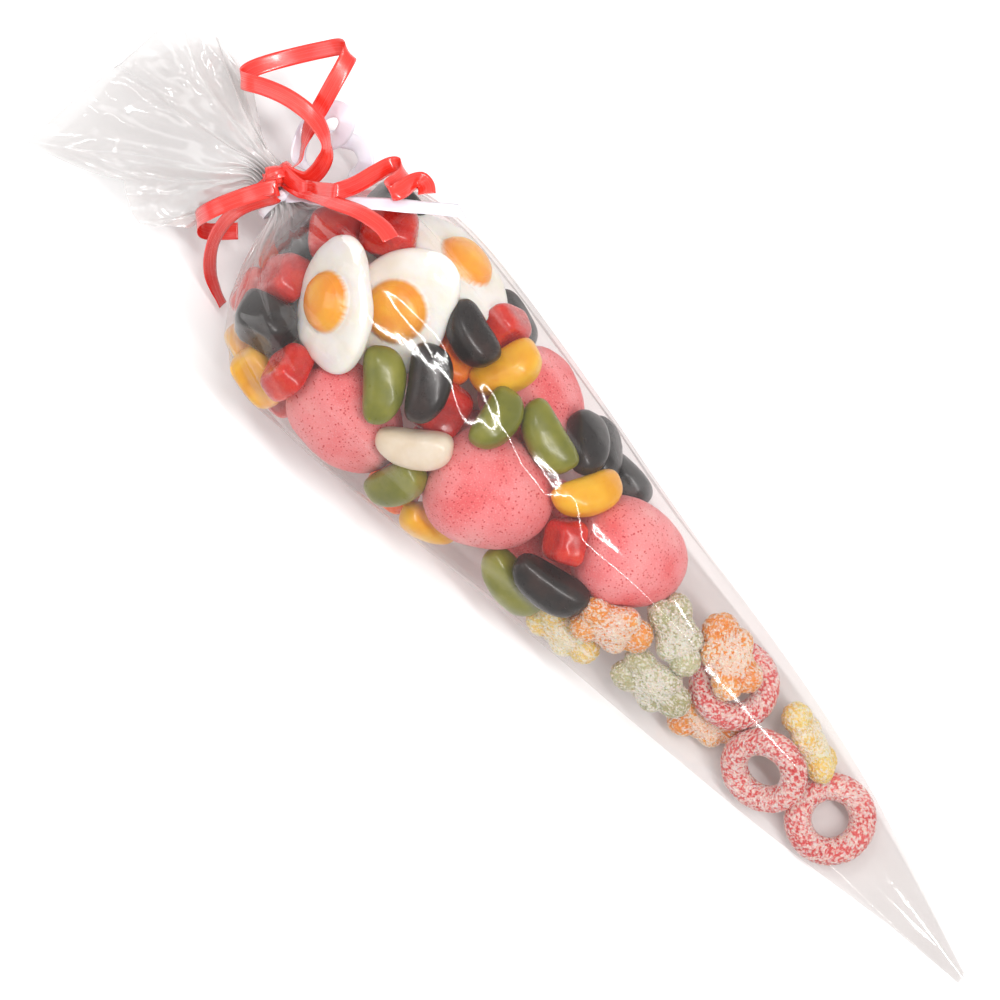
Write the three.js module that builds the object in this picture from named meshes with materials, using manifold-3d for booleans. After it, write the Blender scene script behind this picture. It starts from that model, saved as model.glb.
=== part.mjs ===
// A clear plastic-film cone bag, lying on its side, filled with mixed sweets and
// tied at its gathered neck with two curling ribbons.
// Millimetres, +Z up. The bag lies along X: pointed tip at +X, neck and flared mouth at -X.
import * as THREE from 'three';
import { mergeVertices } from 'three/addons/utils/BufferGeometryUtils.js';
import Module from 'manifold-3d';

const wasm = await Module();
wasm.setup();

// ---------------------------------------------------------------- driving sizes
const FILM_WALL = 0.2;        // film wall in this model; the real film is about 0.03
const FLOOR_Z = -0.55;        // outside of the film where the bag lies on its side
const FILM_SEGMENTS = 32;     // points round the film
const BELLY = 0.9;            // fuller underside, so that it lies on a flat strip
const BELLY_END = 292;
const NECK_PLEATS = 8;       // gathers round the neck
const RIBBON_WIDTH = 5;
const RIBBON_THICK = 0.3;
const BAND_INNER = 7.95;      // ribbon band round the neck
const BAND_OUTER = 8.45;
const NECK_CENTRE = [-1.4, 26.4];
const RED_BAND = [-315.4, -311.4];    // band from x to x, red
const WHITE_BAND = [-309.2, -306.9];  // band from x to x, white

// Film stations from the tip to the mouth:
// distance from the tip, centre y, centre z, half width, half height, pleat depth ratio
const STATIONS = [
  [5, 0.37, 0.9, 1.93, 1.65, 0],
  [14, 1.04, 1.7, 4.16, 2.45, 0],
  [30, 1.92, 3.1, 7.5, 3.85, 0],
  [48, 1.85, 4.76, 11.78, 5.76, 0],
  [62, 1.81, 6.8, 15.8, 8.4, 0],
  [72, 1.86, 9.76, 17.39, 11.36, 0],
  [80, 1.8, 11.4, 18.71, 13, 0],
  [96, 1.38, 12.9, 20.79, 14.5, 0],
  [114, 0.79, 15.64, 22.87, 17.24, 0],
  [134, -0.19, 18.84, 25.51, 20.44, 0],
  [154, -1.27, 22.04, 26.56, 23.04, 0],
  [176, -2.19, 25.53, 29.48, 26.53, 0],
  [198, -2.88, 28.44, 32.75, 29.44, 0],
  [220, -4.13, 30.73, 35.86, 31.73, 0],
  [242, -5.35, 32.39, 38.77, 33.39, 0],
  [262, -6.34, 33.3, 41.13, 34.3, 0],
  [275, -6.65, 32.8, 41.53, 33.8, 0],
  [285, -5.97, 31, 39.36, 32, 0],
  [291.2, -6, 29.6, 36, 28.2, 0],
  [296.4, -5.5, 28.6, 29, 22.6, 0],
  [300.6, -4.5, 27.4, 20.6, 16.2, 0.02],
  [303.8, -3.6, 25.6, 11.6, 9.8, 0.05],
  [306.4, -1.4, 26.5, 6.8, 6.8, 0.08],
  [315.8, -1.4, 26.3, 6.8, 6.8, 0.08],
  [319.2, -4, 25.4, 12, 9, 0.1],
  [328, -11, 22.4, 21, 11, 0.12],
  [346, -13, 17.5, 27, 12, 0.13],
  [370, -20, 14, 25, 11.5, 0.14],
];

// Sweets: name, kind, colour, length, width, thickness, place x y z, quaternion w x y z
const SWEETS = [
  ['jelly_bean_green_1', 'bean', 'green', 22.5, 12.2, 11.4,  -246.68, -14.75, 57.01,  0.37628, 0.01539, 0.03553, 0.9257],
  ['jelly_bean_black_1', 'bean', 'black', 23, 12.5, 11.5,  -238.6, -4.91, 57.67,  0.43156, -0.00158, 0.02393, 0.90177],
  ['jelly_bean_cream_1', 'bean', 'cream', 22.6, 11.2, 10.6,  -227.7, -19.38, 51.46,  0.92122, 0.17489, 0.00936, 0.34739],
  ['jelly_bean_green_2', 'bean', 'green', 22, 12, 11,  -223.73, -30.15, 40.26,  0.74043, 0.25908, -0.26874, 0.55895],
  ['jelly_bean_black_2', 'bean', 'black', 20.5, 11.6, 11,  -241.46, 13.67, 53,  0.95411, -0.27581, 0.01113, -0.11607],
  ['jelly_bean_yellow_1', 'bean', 'yellow', 21.5, 12.4, 11.4,  -227.47, 14.92, 46.12,  0.76176, -0.17859, -0.13219, 0.60857],
  ['jelly_bean_green_3', 'bean', 'green', 20, 11.5, 10.8,  -218.36, 3.27, 52.89,  0.58612, -0.2066, 0.11145, 0.77547],
  ['jelly_bean_green_4', 'bean', 'green', 23, 11.8, 11,  -205.39, 11.04, 47.58,  0.99179, -0.05639, -0.00257, -0.1147],
  ['jelly_bean_black_3', 'bean', 'black', 20, 11.5, 10.8,  -196.35, 18.65, 39.5,  0.39763, -0.10417, 0.41891, 0.80966],
  ['jelly_bean_black_4', 'bean', 'black', 20, 11.5, 10.8,  -192.22, 20.92, 28.02,  0.36722, -0.03029, 0.55791, 0.74362],
  ['jelly_bean_black_5', 'bean', 'black', 20.5, 11.5, 10.8,  -182.33, 20.66, 19.26,  0.71963, -0.67474, -0.12579, -0.10501],
  ['jelly_bean_yellow_2', 'bean', 'yellow', 21.6, 11.5, 10.7,  -185.59, 9.25, 43.47,  0.81062, -0.18393, 0.12851, 0.54087],
  ['jelly_bean_green_5', 'bean', 'green', 24, 12, 11,  -180.79, -23.79, 30.85,  0.91589, 0.35519, 0.16319, -0.09142],
  ['jelly_bean_black_6', 'bean', 'black', 25, 12.2, 11.4,  -172.93, -16.23, 38.81,  0.94373, 0.26826, 0.16963, 0.09291],
  ['jelly_bean_black_7', 'bean', 'black', 20, 11.5, 10.8,  -237.22, 25.65, 28.22,  0.80998, -0.51535, 0.27485, 0.05298],
  ['jelly_bean_yellow_3', 'bean', 'yellow', 20, 11.5, 10.8,  -209.66, -30.95, 26.07,  0.74311, 0.52319, 0.41218, -0.06458],
  ['wine_gum_black_1', 'gum', 'black', 16, 13.5, 10.5,  -295.7, -3.76, 32.93,  0.42293, -0.4915, -0.22146, 0.72836],
  ['wine_gum_orange_1', 'gum', 'orange', 15, 13, 10,  -295.98, -11.59, 20.55,  0.50637, -0.16746, -0.28536, 0.79631],
  ['wine_gum_red_1', 'gum', 'red', 16.5, 15.5, 10.5,  -288.72, 3.9, 44.48,  0.88593, -0.14846, -0.19767, 0.39244],
  ['wine_gum_red_2', 'gum', 'red', 16, 14.5, 10.5,  -278.98, 15.77, 50.82,  0.89418, -0.31983, -0.06218, 0.30705],
  ['wine_gum_black_2', 'gum', 'black', 16, 13.5, 10.5,  -283.38, 21.43, 37.88,  0.94172, -0.32444, 0.08079, 0.03699],
  ['wine_gum_red_3', 'gum', 'red', 15.5, 13.5, 10,  -293.01, -25.82, 28.07,  0.434, -0.37498, -0.54456, 0.61196],
  ['wine_gum_red_4', 'gum', 'red', 15.5, 14, 10,  -289.26, -16.27, 40.46,  0.81507, -0.01628, -0.50745, 0.27909],
  ['wine_gum_black_3', 'gum', 'black', 17, 16, 13,  -282.48, -28.82, 42.86,  0.81928, 0.5355, 0.00174, 0.20498],
  ['wine_gum_yellow_1', 'gum', 'yellow', 15, 13, 10,  -282.31, -37.37, 25.37,  0.15556, 0.00475, -0.66045, 0.73457],
  ['wine_gum_yellow_2', 'gum', 'yellow', 18, 12, 10,  -272.37, -40.23, 35.61,  0.98032, 0.18582, 0.04285, -0.05105],
  ['wine_gum_red_5', 'gum', 'red', 15.5, 14, 10,  -268, -32.84, 47.34,  0.27816, -0.49423, -0.27569, 0.77612],
  ['wine_gum_red_6', 'gum', 'red', 15.5, 13, 10,  -266.28, -37.97, 24.65,  0.94786, 0.31853, -0.002, 0.0099],
  ['wine_gum_red_7', 'gum', 'red', 16, 14, 10,  -230.22, -6.38, 46.27,  0.58596, 0.18891, 0.12518, 0.77801],
  ['wine_gum_orange_2', 'gum', 'orange', 15.5, 13.5, 10,  -240.28, 6.22, 43.7,  0.5638, 0.01796, 0.23719, 0.79091],
  ['wine_gum_red_8', 'gum', 'red', 14.4, 13, 9.3,  -179.79, -4.65, 41.06,  0.81833, 0.19814, -0.4678, 0.26877],
  ['wine_gum_orange_3', 'gum', 'orange', 15.5, 13, 10,  -224, -31.89, 22.86,  0.89056, 0.43818, -0.07022, 0.0998],
  ['wine_gum_red_9', 'gum', 'red', 15.5, 13.5, 10,  -236.61, 21.7, 42.27,  0.84534, 0.14224, 0.50938, 0.07555],
  ['fried_egg_1', 'egg', 'egg', 39, 30, 7.2,  -272.3, -10.13, 53.79,  0.35391, -0.13547, -0.3773, 0.84501],
  ['fried_egg_2', 'egg', 'egg', 42, 31, 7.2,  -259.79, 1.8, 50.87,  0.63268, 0.08898, -0.12611, 0.75888],
  ['fried_egg_3', 'egg', 'egg', 40, 30, 7.2,  -277.97, -10.44, 34.25,  0.81468, -0.04545, -0.28201, 0.50467],
  ['fried_egg_4', 'egg', 'egg', 40, 30, 7.2,  -259.29, 23.47, 39.12,  0.86877, -0.49132, -0.04772, -0.03961],
  ['fried_egg_5', 'egg', 'egg', 39, 29, 7.2,  -250.98, 16.44, 28.56,  0.87288, -0.44243, 0.18986, 0.07925],
  ['foam_strawberry_1', 'straw', 'pink', 36.3, 32.3, 26.5,  -247.35, -27.44, 37.4,  0.94728, 0.27889, 0.11947, -0.10297],
  ['foam_strawberry_2', 'straw', 'pink', 34, 31, 26,  -214.94, 14.1, 27,  0.91891, -0.38395, 0.07633, -0.04868],
  ['foam_strawberry_3', 'straw', 'pink', 38, 36, 28,  -204.34, -11.1, 38.66,  0.9716, 0.06934, 0.06971, 0.21525],
  ['foam_strawberry_4', 'straw', 'pink', 37, 33, 27,  -164.23, 7.27, 27.82,  0.9284, -0.1182, 0.23803, 0.25972],
  ['fizzy_orange_1', 'sour', 'sugar_orange', 26, 16.5, 10,  -151.41, -9.82, 31.65,  0.92896, 0.24336, 0.20409, 0.19015],
  ['fizzy_yellow_1', 'sour', 'sugar_yellow', 25, 16, 10,  -159.09, -21.23, 22.68,  0.92192, 0.37511, 0.08611, 0.04398],
  ['fizzy_green_1', 'sour', 'sugar_green', 27, 16.5, 10,  -130.55, -11.89, 20.65,  0.965, 0.22719, 0.11136, 0.06899],
  ['fizzy_green_2', 'sour', 'sugar_green', 26, 15, 10,  -137.19, 2.36, 26.54,  0.97287, -0.08633, 0.10709, -0.18603],
  ['fizzy_orange_2', 'sour', 'sugar_orange', 27, 18, 10.5,  -123.01, 10.14, 22.01,  0.18081, 0.08605, 0.18453, 0.96221],
  ['fizzy_yellow_2', 'sour', 'sugar_yellow', 27, 16.5, 10,  -87.43, 11.74, 11.16,  0.02658, 0.14897, 0.56524, 0.81093],
  ['fizzy_ring_1', 'ring', 'ring', 27.5, 27.5, 8,  -114.71, 6.17, 13.43,  0.9142, -0.12334, 0.05858, 0.38156],
  ['fizzy_ring_2', 'ring', 'ring', 27, 27, 8,  -89.72, -3.81, 13.15,  0.84798, 0.27725, -0.12983, 0.43268],
  ['fizzy_ring_3', 'ring', 'ring', 27.5, 27.5, 8,  -65.37, 1.69, 6.57,  0.87303, 0.01577, 0.02305, 0.48686],
  ['fizzy_orange_3', 'sour', 'sugar_orange', 25, 16, 10,  -110.9, -6.41, 6.29,  0.95476, 0.13441, 0.09202, 0.24881],
  ['foam_strawberry_5', 'straw', 'pink', 36.7, 32.8, 27,  -278.15, 10.15, 19.37,  -0.24377, 0.95489, 0.15851, -0.06023],
  ['foam_strawberry_6', 'straw', 'pink', 36.7, 32.8, 27,  -263.5, -16.68, 16.62,  0.06554, -0.21322, 0.9725, -0.06692],
  ['fried_egg_6', 'egg', 'egg', 41, 31, 7.2,  -242.37, 3.97, 9.91,  -0.16518, 0.96184, 0.12214, 0.18073],
  ['foam_strawberry_7', 'straw', 'pink', 36, 33, 27,  -216.34, -11.37, 15.02,  0.02719, -0.32287, 0.94181, -0.08954],
  ['foam_strawberry_8', 'straw', 'pink', 36, 32, 26,  -180.54, -5.47, 13.94,  0.11672, 0.9836, 0.05029, -0.12802],
];

// Ribbon strands: centre x y z and the direction of the ribbon's width
const RED_STRANDS = {
  red_left: { steps: 14, route: [
    [-312.8, -2.6, 38, -0.91, 0.39, 0.1],
    [-309.78, -0.44, 41.2, -0.89, 0.44, 0.1],
    [-311.84, -4.65, 41.7, -0.92, 0.39, 0],
    [-314.26, -9.88, 40.2, -0.93, 0.36, 0],
    [-316.75, -15.32, 36.2, -0.93, 0.36, 0],
    [-318.55, -20.55, 33.2, -0.92, 0.39, 0],
    [-319.71, -24.14, 26.4, -0.85, 0.53, 0],
    [-318.65, -25.55, 18.84, -0.79, 0.61, 0],
    [-316.14, -24.24, 15.37, -0.76, 0.65, 0],
    [-313.11, -20.68, 15.07, -0.74, 0.67, 0],
    [-310.46, -17.47, 15.82, -0.74, 0.67, 0],
  ] },
  red_tail: { steps: 16, route: [
    [-312.7, -2.2, 36.2, -0.9, 0.39, 0.2],
    [-307.91, -2.34, 42.2, -0.48, 0.21, 0.85],
    [-309.78, -6.69, 38.8, -0.48, 0.21, 0.85],
    [-312.08, -11.72, 36.7, -0.51, 0.17, 0.84],
    [-313.17, -16.06, 33.2, -0.6, -0.08, 0.8],
    [-313.08, -20.97, 27.16, -0.53, -0.32, 0.78],
    [-311.86, -25.45, 20.36, -0.35, -0.41, 0.84],
    [-309.76, -29.07, 14.31, -0.33, -0.38, 0.86],
    [-306.62, -32.04, 8.42, -0.33, -0.38, 0.86],
    [-302.64, -33.89, 5, -0.4, -0.31, 0.86],
    [-298.07, -35.26, 3.4, -0.44, -0.28, 0.85],
  ] },
  red_loop: { steps: 33, route: [
    [-313, 3.2, 38.4, -0.92, 0.33, 0.2],
    [-306.74, 6.3, 40.2, -0.94, 0.33, 0.1],
    [-305.59, 9.98, 42.2, -0.98, 0.04, 0.2],
    [-306.4, 14.27, 45.2, -0.81, -0.34, 0.49],
    [-308.95, 17.54, 47.2, -0.33, -0.38, 0.86],
    [-312.96, 19.34, 47.7, -0.17, -0.81, 0.56],
    [-317.69, 20.01, 47.2, 0.16, -0.97, 0.2],
    [-323, 19.25, 46.2, 0.33, -0.95, 0],
    [-328.25, 17.69, 45.2, 0.37, -0.93, 0],
    [-333.71, 15.12, 43.7, 0.48, -0.88, 0],
    [-338, 12.56, 41.2, 0.65, -0.76, 0],
    [-340.63, 11.78, 37.2, 0.76, -0.65, 0],
    [-341.44, 14.8, 33.7, 0.85, -0.53, 0],
    [-340.25, 19.67, 31.69, 0.9, -0.44, 0],
    [-336.37, 28.08, 30.93, 0.89, -0.45, 0],
    [-332.13, 35.57, 32.44, 0.89, -0.45, 0],
    [-329.12, 39.62, 35.2, 0.94, -0.34, 0],
    [-325.87, 40.06, 38.7, 0.99, -0.13, 0],
    [-324.01, 36.66, 40.2, 0.98, 0.21, 0],
    [-321.98, 31.13, 40.2, 0.95, 0.33, 0],
    [-319.88, 25.06, 38.7, 0.95, 0.33, 0],
    [-318.32, 20.18, 36.7, 0.91, 0.36, 0.2],
    [-316.74, 16.47, 35.7, 0.71, 0.35, 0.62],
    [-314.19, 12.38, 35.7, 0.23, 0.27, 0.94],
    [-311.77, 8.06, 36.2, 0.23, 0.27, 0.94],
    [-314, 0, 38.3, 0.42, 0.17, 0.89],
  ] },
  red_right: { steps: 20, route: [
    [-313.6, 3.2, 37.2, -0.76, 0.65, 0],
    [-305.61, 4.08, 43.52, -0.76, 0.65, 0],
    [-303.31, 5.62, 45.46, -0.76, 0.64, 0],
    [-300.89, 6.95, 51.43, -0.77, 0.64, 0],
    [-298.4, 8.83, 55.7, -0.74, 0.68, 0],
    [-296.05, 11.1, 59.04, -0.69, 0.73, 0],
    [-294.35, 16.83, 55.21, -0.95, 0.31, 0],
    [-293.48, 23.01, 52.25, -0.97, 0.23, 0.1],
    [-292.6, 27.73, 49.26, -0.93, 0.29, 0.2],
    [-290.36, 29.95, 50.39, -0.95, 0.22, 0.2],
    [-287.82, 29.38, 53.71, -0.99, 0, 0.1],
    [-287.33, 26.47, 56.92, -0.96, -0.18, 0.2],
    [-287.26, 23.18, 59.49, -0.9, -0.07, 0.43],
    [-285.61, 22.22, 61.65, -0.75, 0.24, 0.62],
    [-284.51, 24.92, 60.58, -0.97, 0.15, 0.21],
    [-284.41, 28.44, 57.75, -0.86, 0.47, 0.2],
    [-283.59, 31, 55.56, -0.29, 0.93, 0.21],
    [-281.14, 31.14, 56.39, 0.29, 0.95, 0.1],
    [-279.07, 29.8, 58.56, 0.65, 0.75, 0.1],
  ] },
  red_low: { steps: 13, route: [
    [-312.2, 2.5, 36, -0.69, 0.72, 0],
    [-304.41, 3.77, 43.2, -0.19, 0.78, -0.6],
    [-301.3, 5.28, 49.03, -0.04, 0.9, -0.44],
    [-298.45, 6.56, 54.48, -0.06, 0.9, -0.42],
    [-295.61, 7.75, 58.96, -0.1, 0.89, -0.45],
    [-292.92, 8.96, 62.06, -0.02, 0.93, -0.36],
    [-288.17, 11.37, 66.2, -0.16, 0.87, -0.47],
    [-283.52, 13.02, 68.93, -0.12, 0.9, -0.42],
    [-278.95, 13.91, 70.22, 0.02, 0.92, -0.39],
    [-275.07, 13.56, 71.72, 0.13, 0.92, -0.36],
  ] },
};
const WHITE_STRANDS = {
  white_band: { steps: 15, route: [
    [-307.3, 0.2, 36, -0.69, 0.72, 0],
    [-302.37, 4.08, 40.61, -0.13, 0.83, -0.54],
    [-299.09, 5.88, 47.47, -0.11, 0.87, -0.49],
    [-294.21, 9.58, 54.11, -0.23, 0.76, -0.61],
    [-289.49, 13.91, 57.93, -0.45, 0.59, -0.67],
    [-285.1, 18.36, 59.55, -0.54, 0.52, -0.66],
    [-280.57, 22.93, 58.29, -0.68, 0.44, -0.58],
    [-275.76, 27.98, 55.71, -0.73, 0.31, -0.61],
    [-271.99, 32.08, 51.26, -0.88, 0.25, -0.41],
    [-269.86, 34.66, 46.95, -0.91, 0.21, -0.37],
  ] },
  white_curl: { steps: 22, route: [
    [-307.3, 1.9, 35.7, -0.49, 0.7, 0.52],
    [-304.84, 8.17, 36.4, -0.81, 0.43, 0.4],
    [-308.65, 9.48, 30.18, -0.79, -0.44, 0.42],
    [-313.37, 9.44, 26.4, -0.56, -0.65, 0.51],
    [-316.7, 12.69, 26.4, -0.72, -0.52, 0.46],
    [-319.08, 18.25, 27.16, -0.94, -0.14, 0.31],
    [-318.77, 24.3, 30.18, -0.89, 0.44, 0.1],
    [-315.81, 27.66, 33.2, -0.32, 0.94, 0.1],
    [-311.82, 26.91, 33.7, 0.52, 0.83, 0.2],
    [-310.28, 23.09, 30.18, 0.91, 0.28, 0.3],
    [-311.71, 19.73, 24.13, 0.75, -0.24, 0.62],
    [-313.02, 20.76, 16.58, -0.58, -0.04, 0.82],
    [-310.64, 23.55, 13.56, -0.91, 0.37, 0.21],
    [-306.41, 25.85, 15.82, -0.32, 0.94, 0.1],
    [-301.59, 24.48, 17.33, 0.56, 0.8, 0.2],
    [-300, 20.72, 15.82, 0.91, 0.28, 0.3],
    [-301.49, 17.18, 12.8, 0.67, -0.17, 0.72],
  ] },
};

const FINISH = {
  black: [0x241a1c, 0.35], green: [0x7c8a2a, 0.35], cream: [0xece2c8, 0.4], yellow: [0xe8b020, 0.35],
  red: [0xc8141c, 0.3], orange: [0xee6a1c, 0.3], egg: [0xf6f1e4, 0.45], pink: [0xf07888, 0.75],
  ring: [0xd83a3e, 0.85], sugar_orange: [0xf0923c, 0.85], sugar_yellow: [0xeec85c, 0.85], sugar_green: [0xb4b27c, 0.85],
};

// ---------------------------------------------------------------- helpers
function bare(geometry) {
  geometry.deleteAttribute('normal');
  geometry.deleteAttribute('uv');
  return mergeVertices(geometry, 1e-5);
}

function reshape(geometry, place) {
  const p = geometry.attributes.position;
  const v = new THREE.Vector3();
  for (let i = 0; i < p.count; i++) {
    v.fromBufferAttribute(p, i);
    place(v, i);
    p.setXYZ(i, v.x, v.y, v.z);
  }
  return geometry;
}

function solid(geometry) {
  const g = geometry.index ? geometry : mergeVertices(geometry, 1e-5);
  return new wasm.Manifold(new wasm.Mesh({
    numProp: 3,
    vertProperties: new Float32Array(g.attributes.position.array),
    triVerts: new Uint32Array(g.index.array),
  }));
}

function geometryOf(manifold) {
  const m = manifold.getMesh();
  const g = new THREE.BufferGeometry();
  g.setAttribute('position', new THREE.BufferAttribute(Float32Array.from(m.vertProperties), 3));
  g.setIndex(new THREE.BufferAttribute(Uint32Array.from(m.triVerts), 1));
  return g;
}

function outwards(g) {
  const p = g.attributes.position.array, t = g.index.array;
  let six = 0;
  for (let i = 0; i < t.length; i += 3) {
    const [a, b, c] = [t[i] * 3, t[i + 1] * 3, t[i + 2] * 3];
    six += p[a] * (p[b + 1] * p[c + 2] - p[b + 2] * p[c + 1])
      - p[a + 1] * (p[b] * p[c + 2] - p[b + 2] * p[c])
      + p[a + 2] * (p[b] * p[c + 1] - p[b + 1] * p[c]);
  }
  if (six < 0) for (let i = 0; i < t.length; i += 3) { const k = t[i]; t[i] = t[i + 1]; t[i + 1] = k; }
  return g;
}

// ---------------------------------------------------------------- sweets
const superellipse = (n, a, b, c, p) =>
  (Math.abs(n.x / a) ** p + Math.abs(n.y / b) ** p + Math.abs(n.z / c) ** p) ** (-1 / p);

// lobes of a moulded, sugar-coated gummy: centre and radii
const LOBES = [
  [[-1.2, 0, 0], [10.2, 7.3, 4.9]], [[8.2, 0, 0.2], [5.0, 5.6, 4.8]],
  [[2.4, 4.6, 0.4], [4.0, 3.9, 3.9]], [[2.4, -4.6, 0.4], [4.0, 3.9, 3.9]],
  [[-8.0, 3.7, 0.4], [5.0, 4.3, 4.3]], [[-8.0, -3.7, 0.4], [5.0, 4.3, 4.3]],
];

function lobed(n, k) {
  const m = [n.x / k[0], n.y / k[1], n.z / k[2]];
  const len = Math.hypot(...m);
  let sum = 0;
  for (const [c, r] of LOBES) {
    let A = 0, B = 0, C = -1;
    for (let i = 0; i < 3; i++) {
      const d = m[i] / len;
      A += (d / r[i]) ** 2; B -= 2 * d * c[i] / r[i] ** 2; C += (c[i] / r[i]) ** 2;
    }
    const D = B * B - 4 * A * C;
    if (D > 0) sum += Math.max(0, (-B + Math.sqrt(D)) / (2 * A)) ** 9;
  }
  const t = 0.955 * sum ** (1 / 9);
  n.set(m[0] / len * t * k[0], m[1] / len * t * k[1], m[2] / len * t * k[2]);
}

const MAKE = {
  bean(v, L, W, T) {
    const a = L / 2, b = W / 2, c = T / 2;
    v.multiplyScalar(superellipse(v, a, b, c, 2.7));
    const f = 1 + 0.10 * v.x / a;
    v.y = v.y * f + 0.32 * b * ((v.x / a) ** 2 - 0.33);
    v.z *= f;
  },
  gum(v, L, W, T) {
    v.multiplyScalar(superellipse(v, L / 2, W / 2, T / 2, 4));
    const f = 1 - 0.11 * v.z / (T / 2);
    v.x *= f; v.y *= f;
  },
  straw(v, L, W, T) {
    const c = T / 2 * (v.z > 0 ? 1.12 : 0.88);
    v.multiplyScalar(superellipse(v, L / 2, W / 2, c, 2.35));
    const t = Math.min(1, Math.max(0, (v.x / (L / 2) + 1) / 2));
    const g = 1.06 - 0.30 * t ** 1.6;
    v.y *= g; v.z *= g;
  },
  egg(v, L, W, T) {
    const rho = Math.hypot(v.x / (L / 2), v.y / (W / 2));
    const r = (rho ** 3.2 + Math.abs(v.z / (T / 2)) ** 3.2) ** (-1 / 3.2);
    const turn = Math.atan2(v.y, v.x);
    v.multiplyScalar(r);
    const w = 1 + 0.045 * Math.cos(3 * turn + 0.7) + 0.025 * Math.cos(5 * turn + 2.0);
    v.x *= w; v.y *= w;
    const d = Math.hypot(v.x - 1, v.y) / (0.29 * W);
    if (v.z > 0 && d < 1) v.z += 0.155 * W * Math.sqrt(1 - d * d);
  },
  sour(v, L, W, T) { lobed(v, [L / 26.5, W / 17.2, T / 10]); },
};
const GRID = { bean: [8, 6], gum: [8, 6], straw: [12, 7], egg: [14, 7], sour: [12, 7] };

function sweet(kind, L, W, T) {
  if (kind === 'ring') {
    const tube = 0.148 * L;
    const g = bare(new THREE.TorusGeometry(L / 2 - tube, tube, 6, 14));
    return reshape(g, v => { v.z *= T / 2 / tube; });
  }
  const [around, along] = GRID[kind];
  const g = bare(new THREE.SphereGeometry(1, around, along).rotateX(Math.PI / 2));
  return reshape(g, v => MAKE[kind](v.normalize(), L, W, T));
}

// ---------------------------------------------------------------- film bag
// One closed skin: along the outside from the tip to the mouth, back along the inside.
function filmBag() {
  const n = STATIONS.length;
  const profile = [new THREE.Vector2(0, 0)];
  for (let j = 1; j <= 2 * n; j++) profile.push(new THREE.Vector2(1, j));
  profile.push(new THREE.Vector2(0, 2 * n + 1));
  const g = new THREE.LatheGeometry(profile, FILM_SEGMENTS);
  const rows = profile.length;
  reshape(g, (v, i) => {
    const j = i % rows;
    const phi = 2 * Math.PI * Math.floor(i / rows) / FILM_SEGMENTS;
    if (j === 0) { v.set(0.6, STATIONS[0][1], 0.3); return; }
    if (j === rows - 1) { v.set(-3, STATIONS[0][1], 0.3); return; }
    const inner = j > n;
    const [s, yc, zc, a, b, pleat] = STATIONS[inner ? 2 * n - j : j - 1];
    const gap = inner ? FILM_WALL : 0;
    const k = 1 + pleat * Math.cos(NECK_PLEATS * phi);
    const down = Math.sin(phi) < 0 && s < BELLY_END ? BELLY : 0;
    v.set(-s, yc + (a * k - gap) * Math.cos(phi),
      Math.max(zc + (b * k - gap + down) * Math.sin(phi), FLOOR_Z + gap));
  });
  return outwards(bare(g));
}

// ---------------------------------------------------------------- ribbons
function strand({ steps, route }) {
  const line = new THREE.CatmullRomCurve3(route.map(r => new THREE.Vector3(r[0], r[1], r[2])), false, 'centripetal');
  const across = new THREE.CatmullRomCurve3(route.map(r => new THREE.Vector3(r[3], r[4], r[5])), false, 'catmullrom', 0.5);
  const g = bare(new THREE.BoxGeometry(1, RIBBON_WIDTH, RIBBON_THICK, steps, 1, 1));
  return reshape(g, v => {
    const u = Math.min(1, Math.max(0, v.x + 0.5));
    const t = line.getUtoTmapping(u);
    const T = line.getTangent(t);
    const W = across.getPoint(t);
    W.addScaledVector(T, -W.dot(T)).normalize();
    const N = new THREE.Vector3().crossVectors(T, W);
    const [y, z] = [v.y, v.z];
    v.copy(line.getPoint(t)).addScaledVector(W, y).addScaledVector(N, z);
  });
}

function neckBand([x0, x1]) {
  const ring = new THREE.LatheGeometry([
    new THREE.Vector2(BAND_INNER, x0), new THREE.Vector2(BAND_OUTER, x0),
    new THREE.Vector2(BAND_OUTER, x1), new THREE.Vector2(BAND_INNER, x1),
    new THREE.Vector2(BAND_INNER, x0),
  ], 28).rotateZ(-Math.PI / 2).translate(0, NECK_CENTRE[0], NECK_CENTRE[1]);
  return outwards(bare(ring));
}

function knot(x, y, z, a, b, c) {
  return bare(new THREE.SphereGeometry(1, 12, 8).scale(a, b, c).translate(x, y, z));
}

function ribbon(strands, band, knotGeometry) {
  let body = solid(neckBand(band)).add(solid(knotGeometry));
  for (const s of Object.values(strands)) body = body.add(solid(outwards(strand(s))));
  return body;
}

// ---------------------------------------------------------------- assembly
const bag = new THREE.Group();
const lying = new THREE.Group();
bag.add(lying);

function add(name, geometry, colour, roughness, metalness = 0, extra = {}) {
  const mesh = new THREE.Mesh(geometry, new THREE.MeshStandardMaterial({ color: colour, roughness, metalness, ...extra }));
  mesh.name = name;
  lying.add(mesh);
  return mesh;
}

add('cone_bag_film', filmBag(), 0xe9e6e2, 0.12, 0, { transparent: true, opacity: 0.25 });

const red = ribbon(RED_STRANDS, RED_BAND, knot(-313.5, 0.7, 37.1, 2.0, 4.7, 2.6));
const white = ribbon(WHITE_STRANDS, WHITE_BAND, knot(-307.6, -0.4, 35.3, 1.2, 3.0, 1.1));
add('ribbon_red', geometryOf(red), 0xe8281e, 0.25);
add('ribbon_white', geometryOf(white), 0xe4e0ee, 0.25);

for (const [name, kind, colour, L, W, T, x, y, z, qw, qx, qy, qz] of SWEETS) {
  const [hex, rough] = FINISH[colour];
  const mesh = add(name, sweet(kind, L, W, T), hex, rough);
  mesh.position.set(x, y, z);
  mesh.quaternion.set(qx, qy, qz, qw);
}

// the origin: middle of the box round the whole bag, on the surface it lies on
const box = new THREE.Box3().setFromObject(lying, true);
lying.position.set(-(box.min.x + box.max.x) / 2, -(box.min.y + box.max.y) / 2, -FLOOR_Z);

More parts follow.
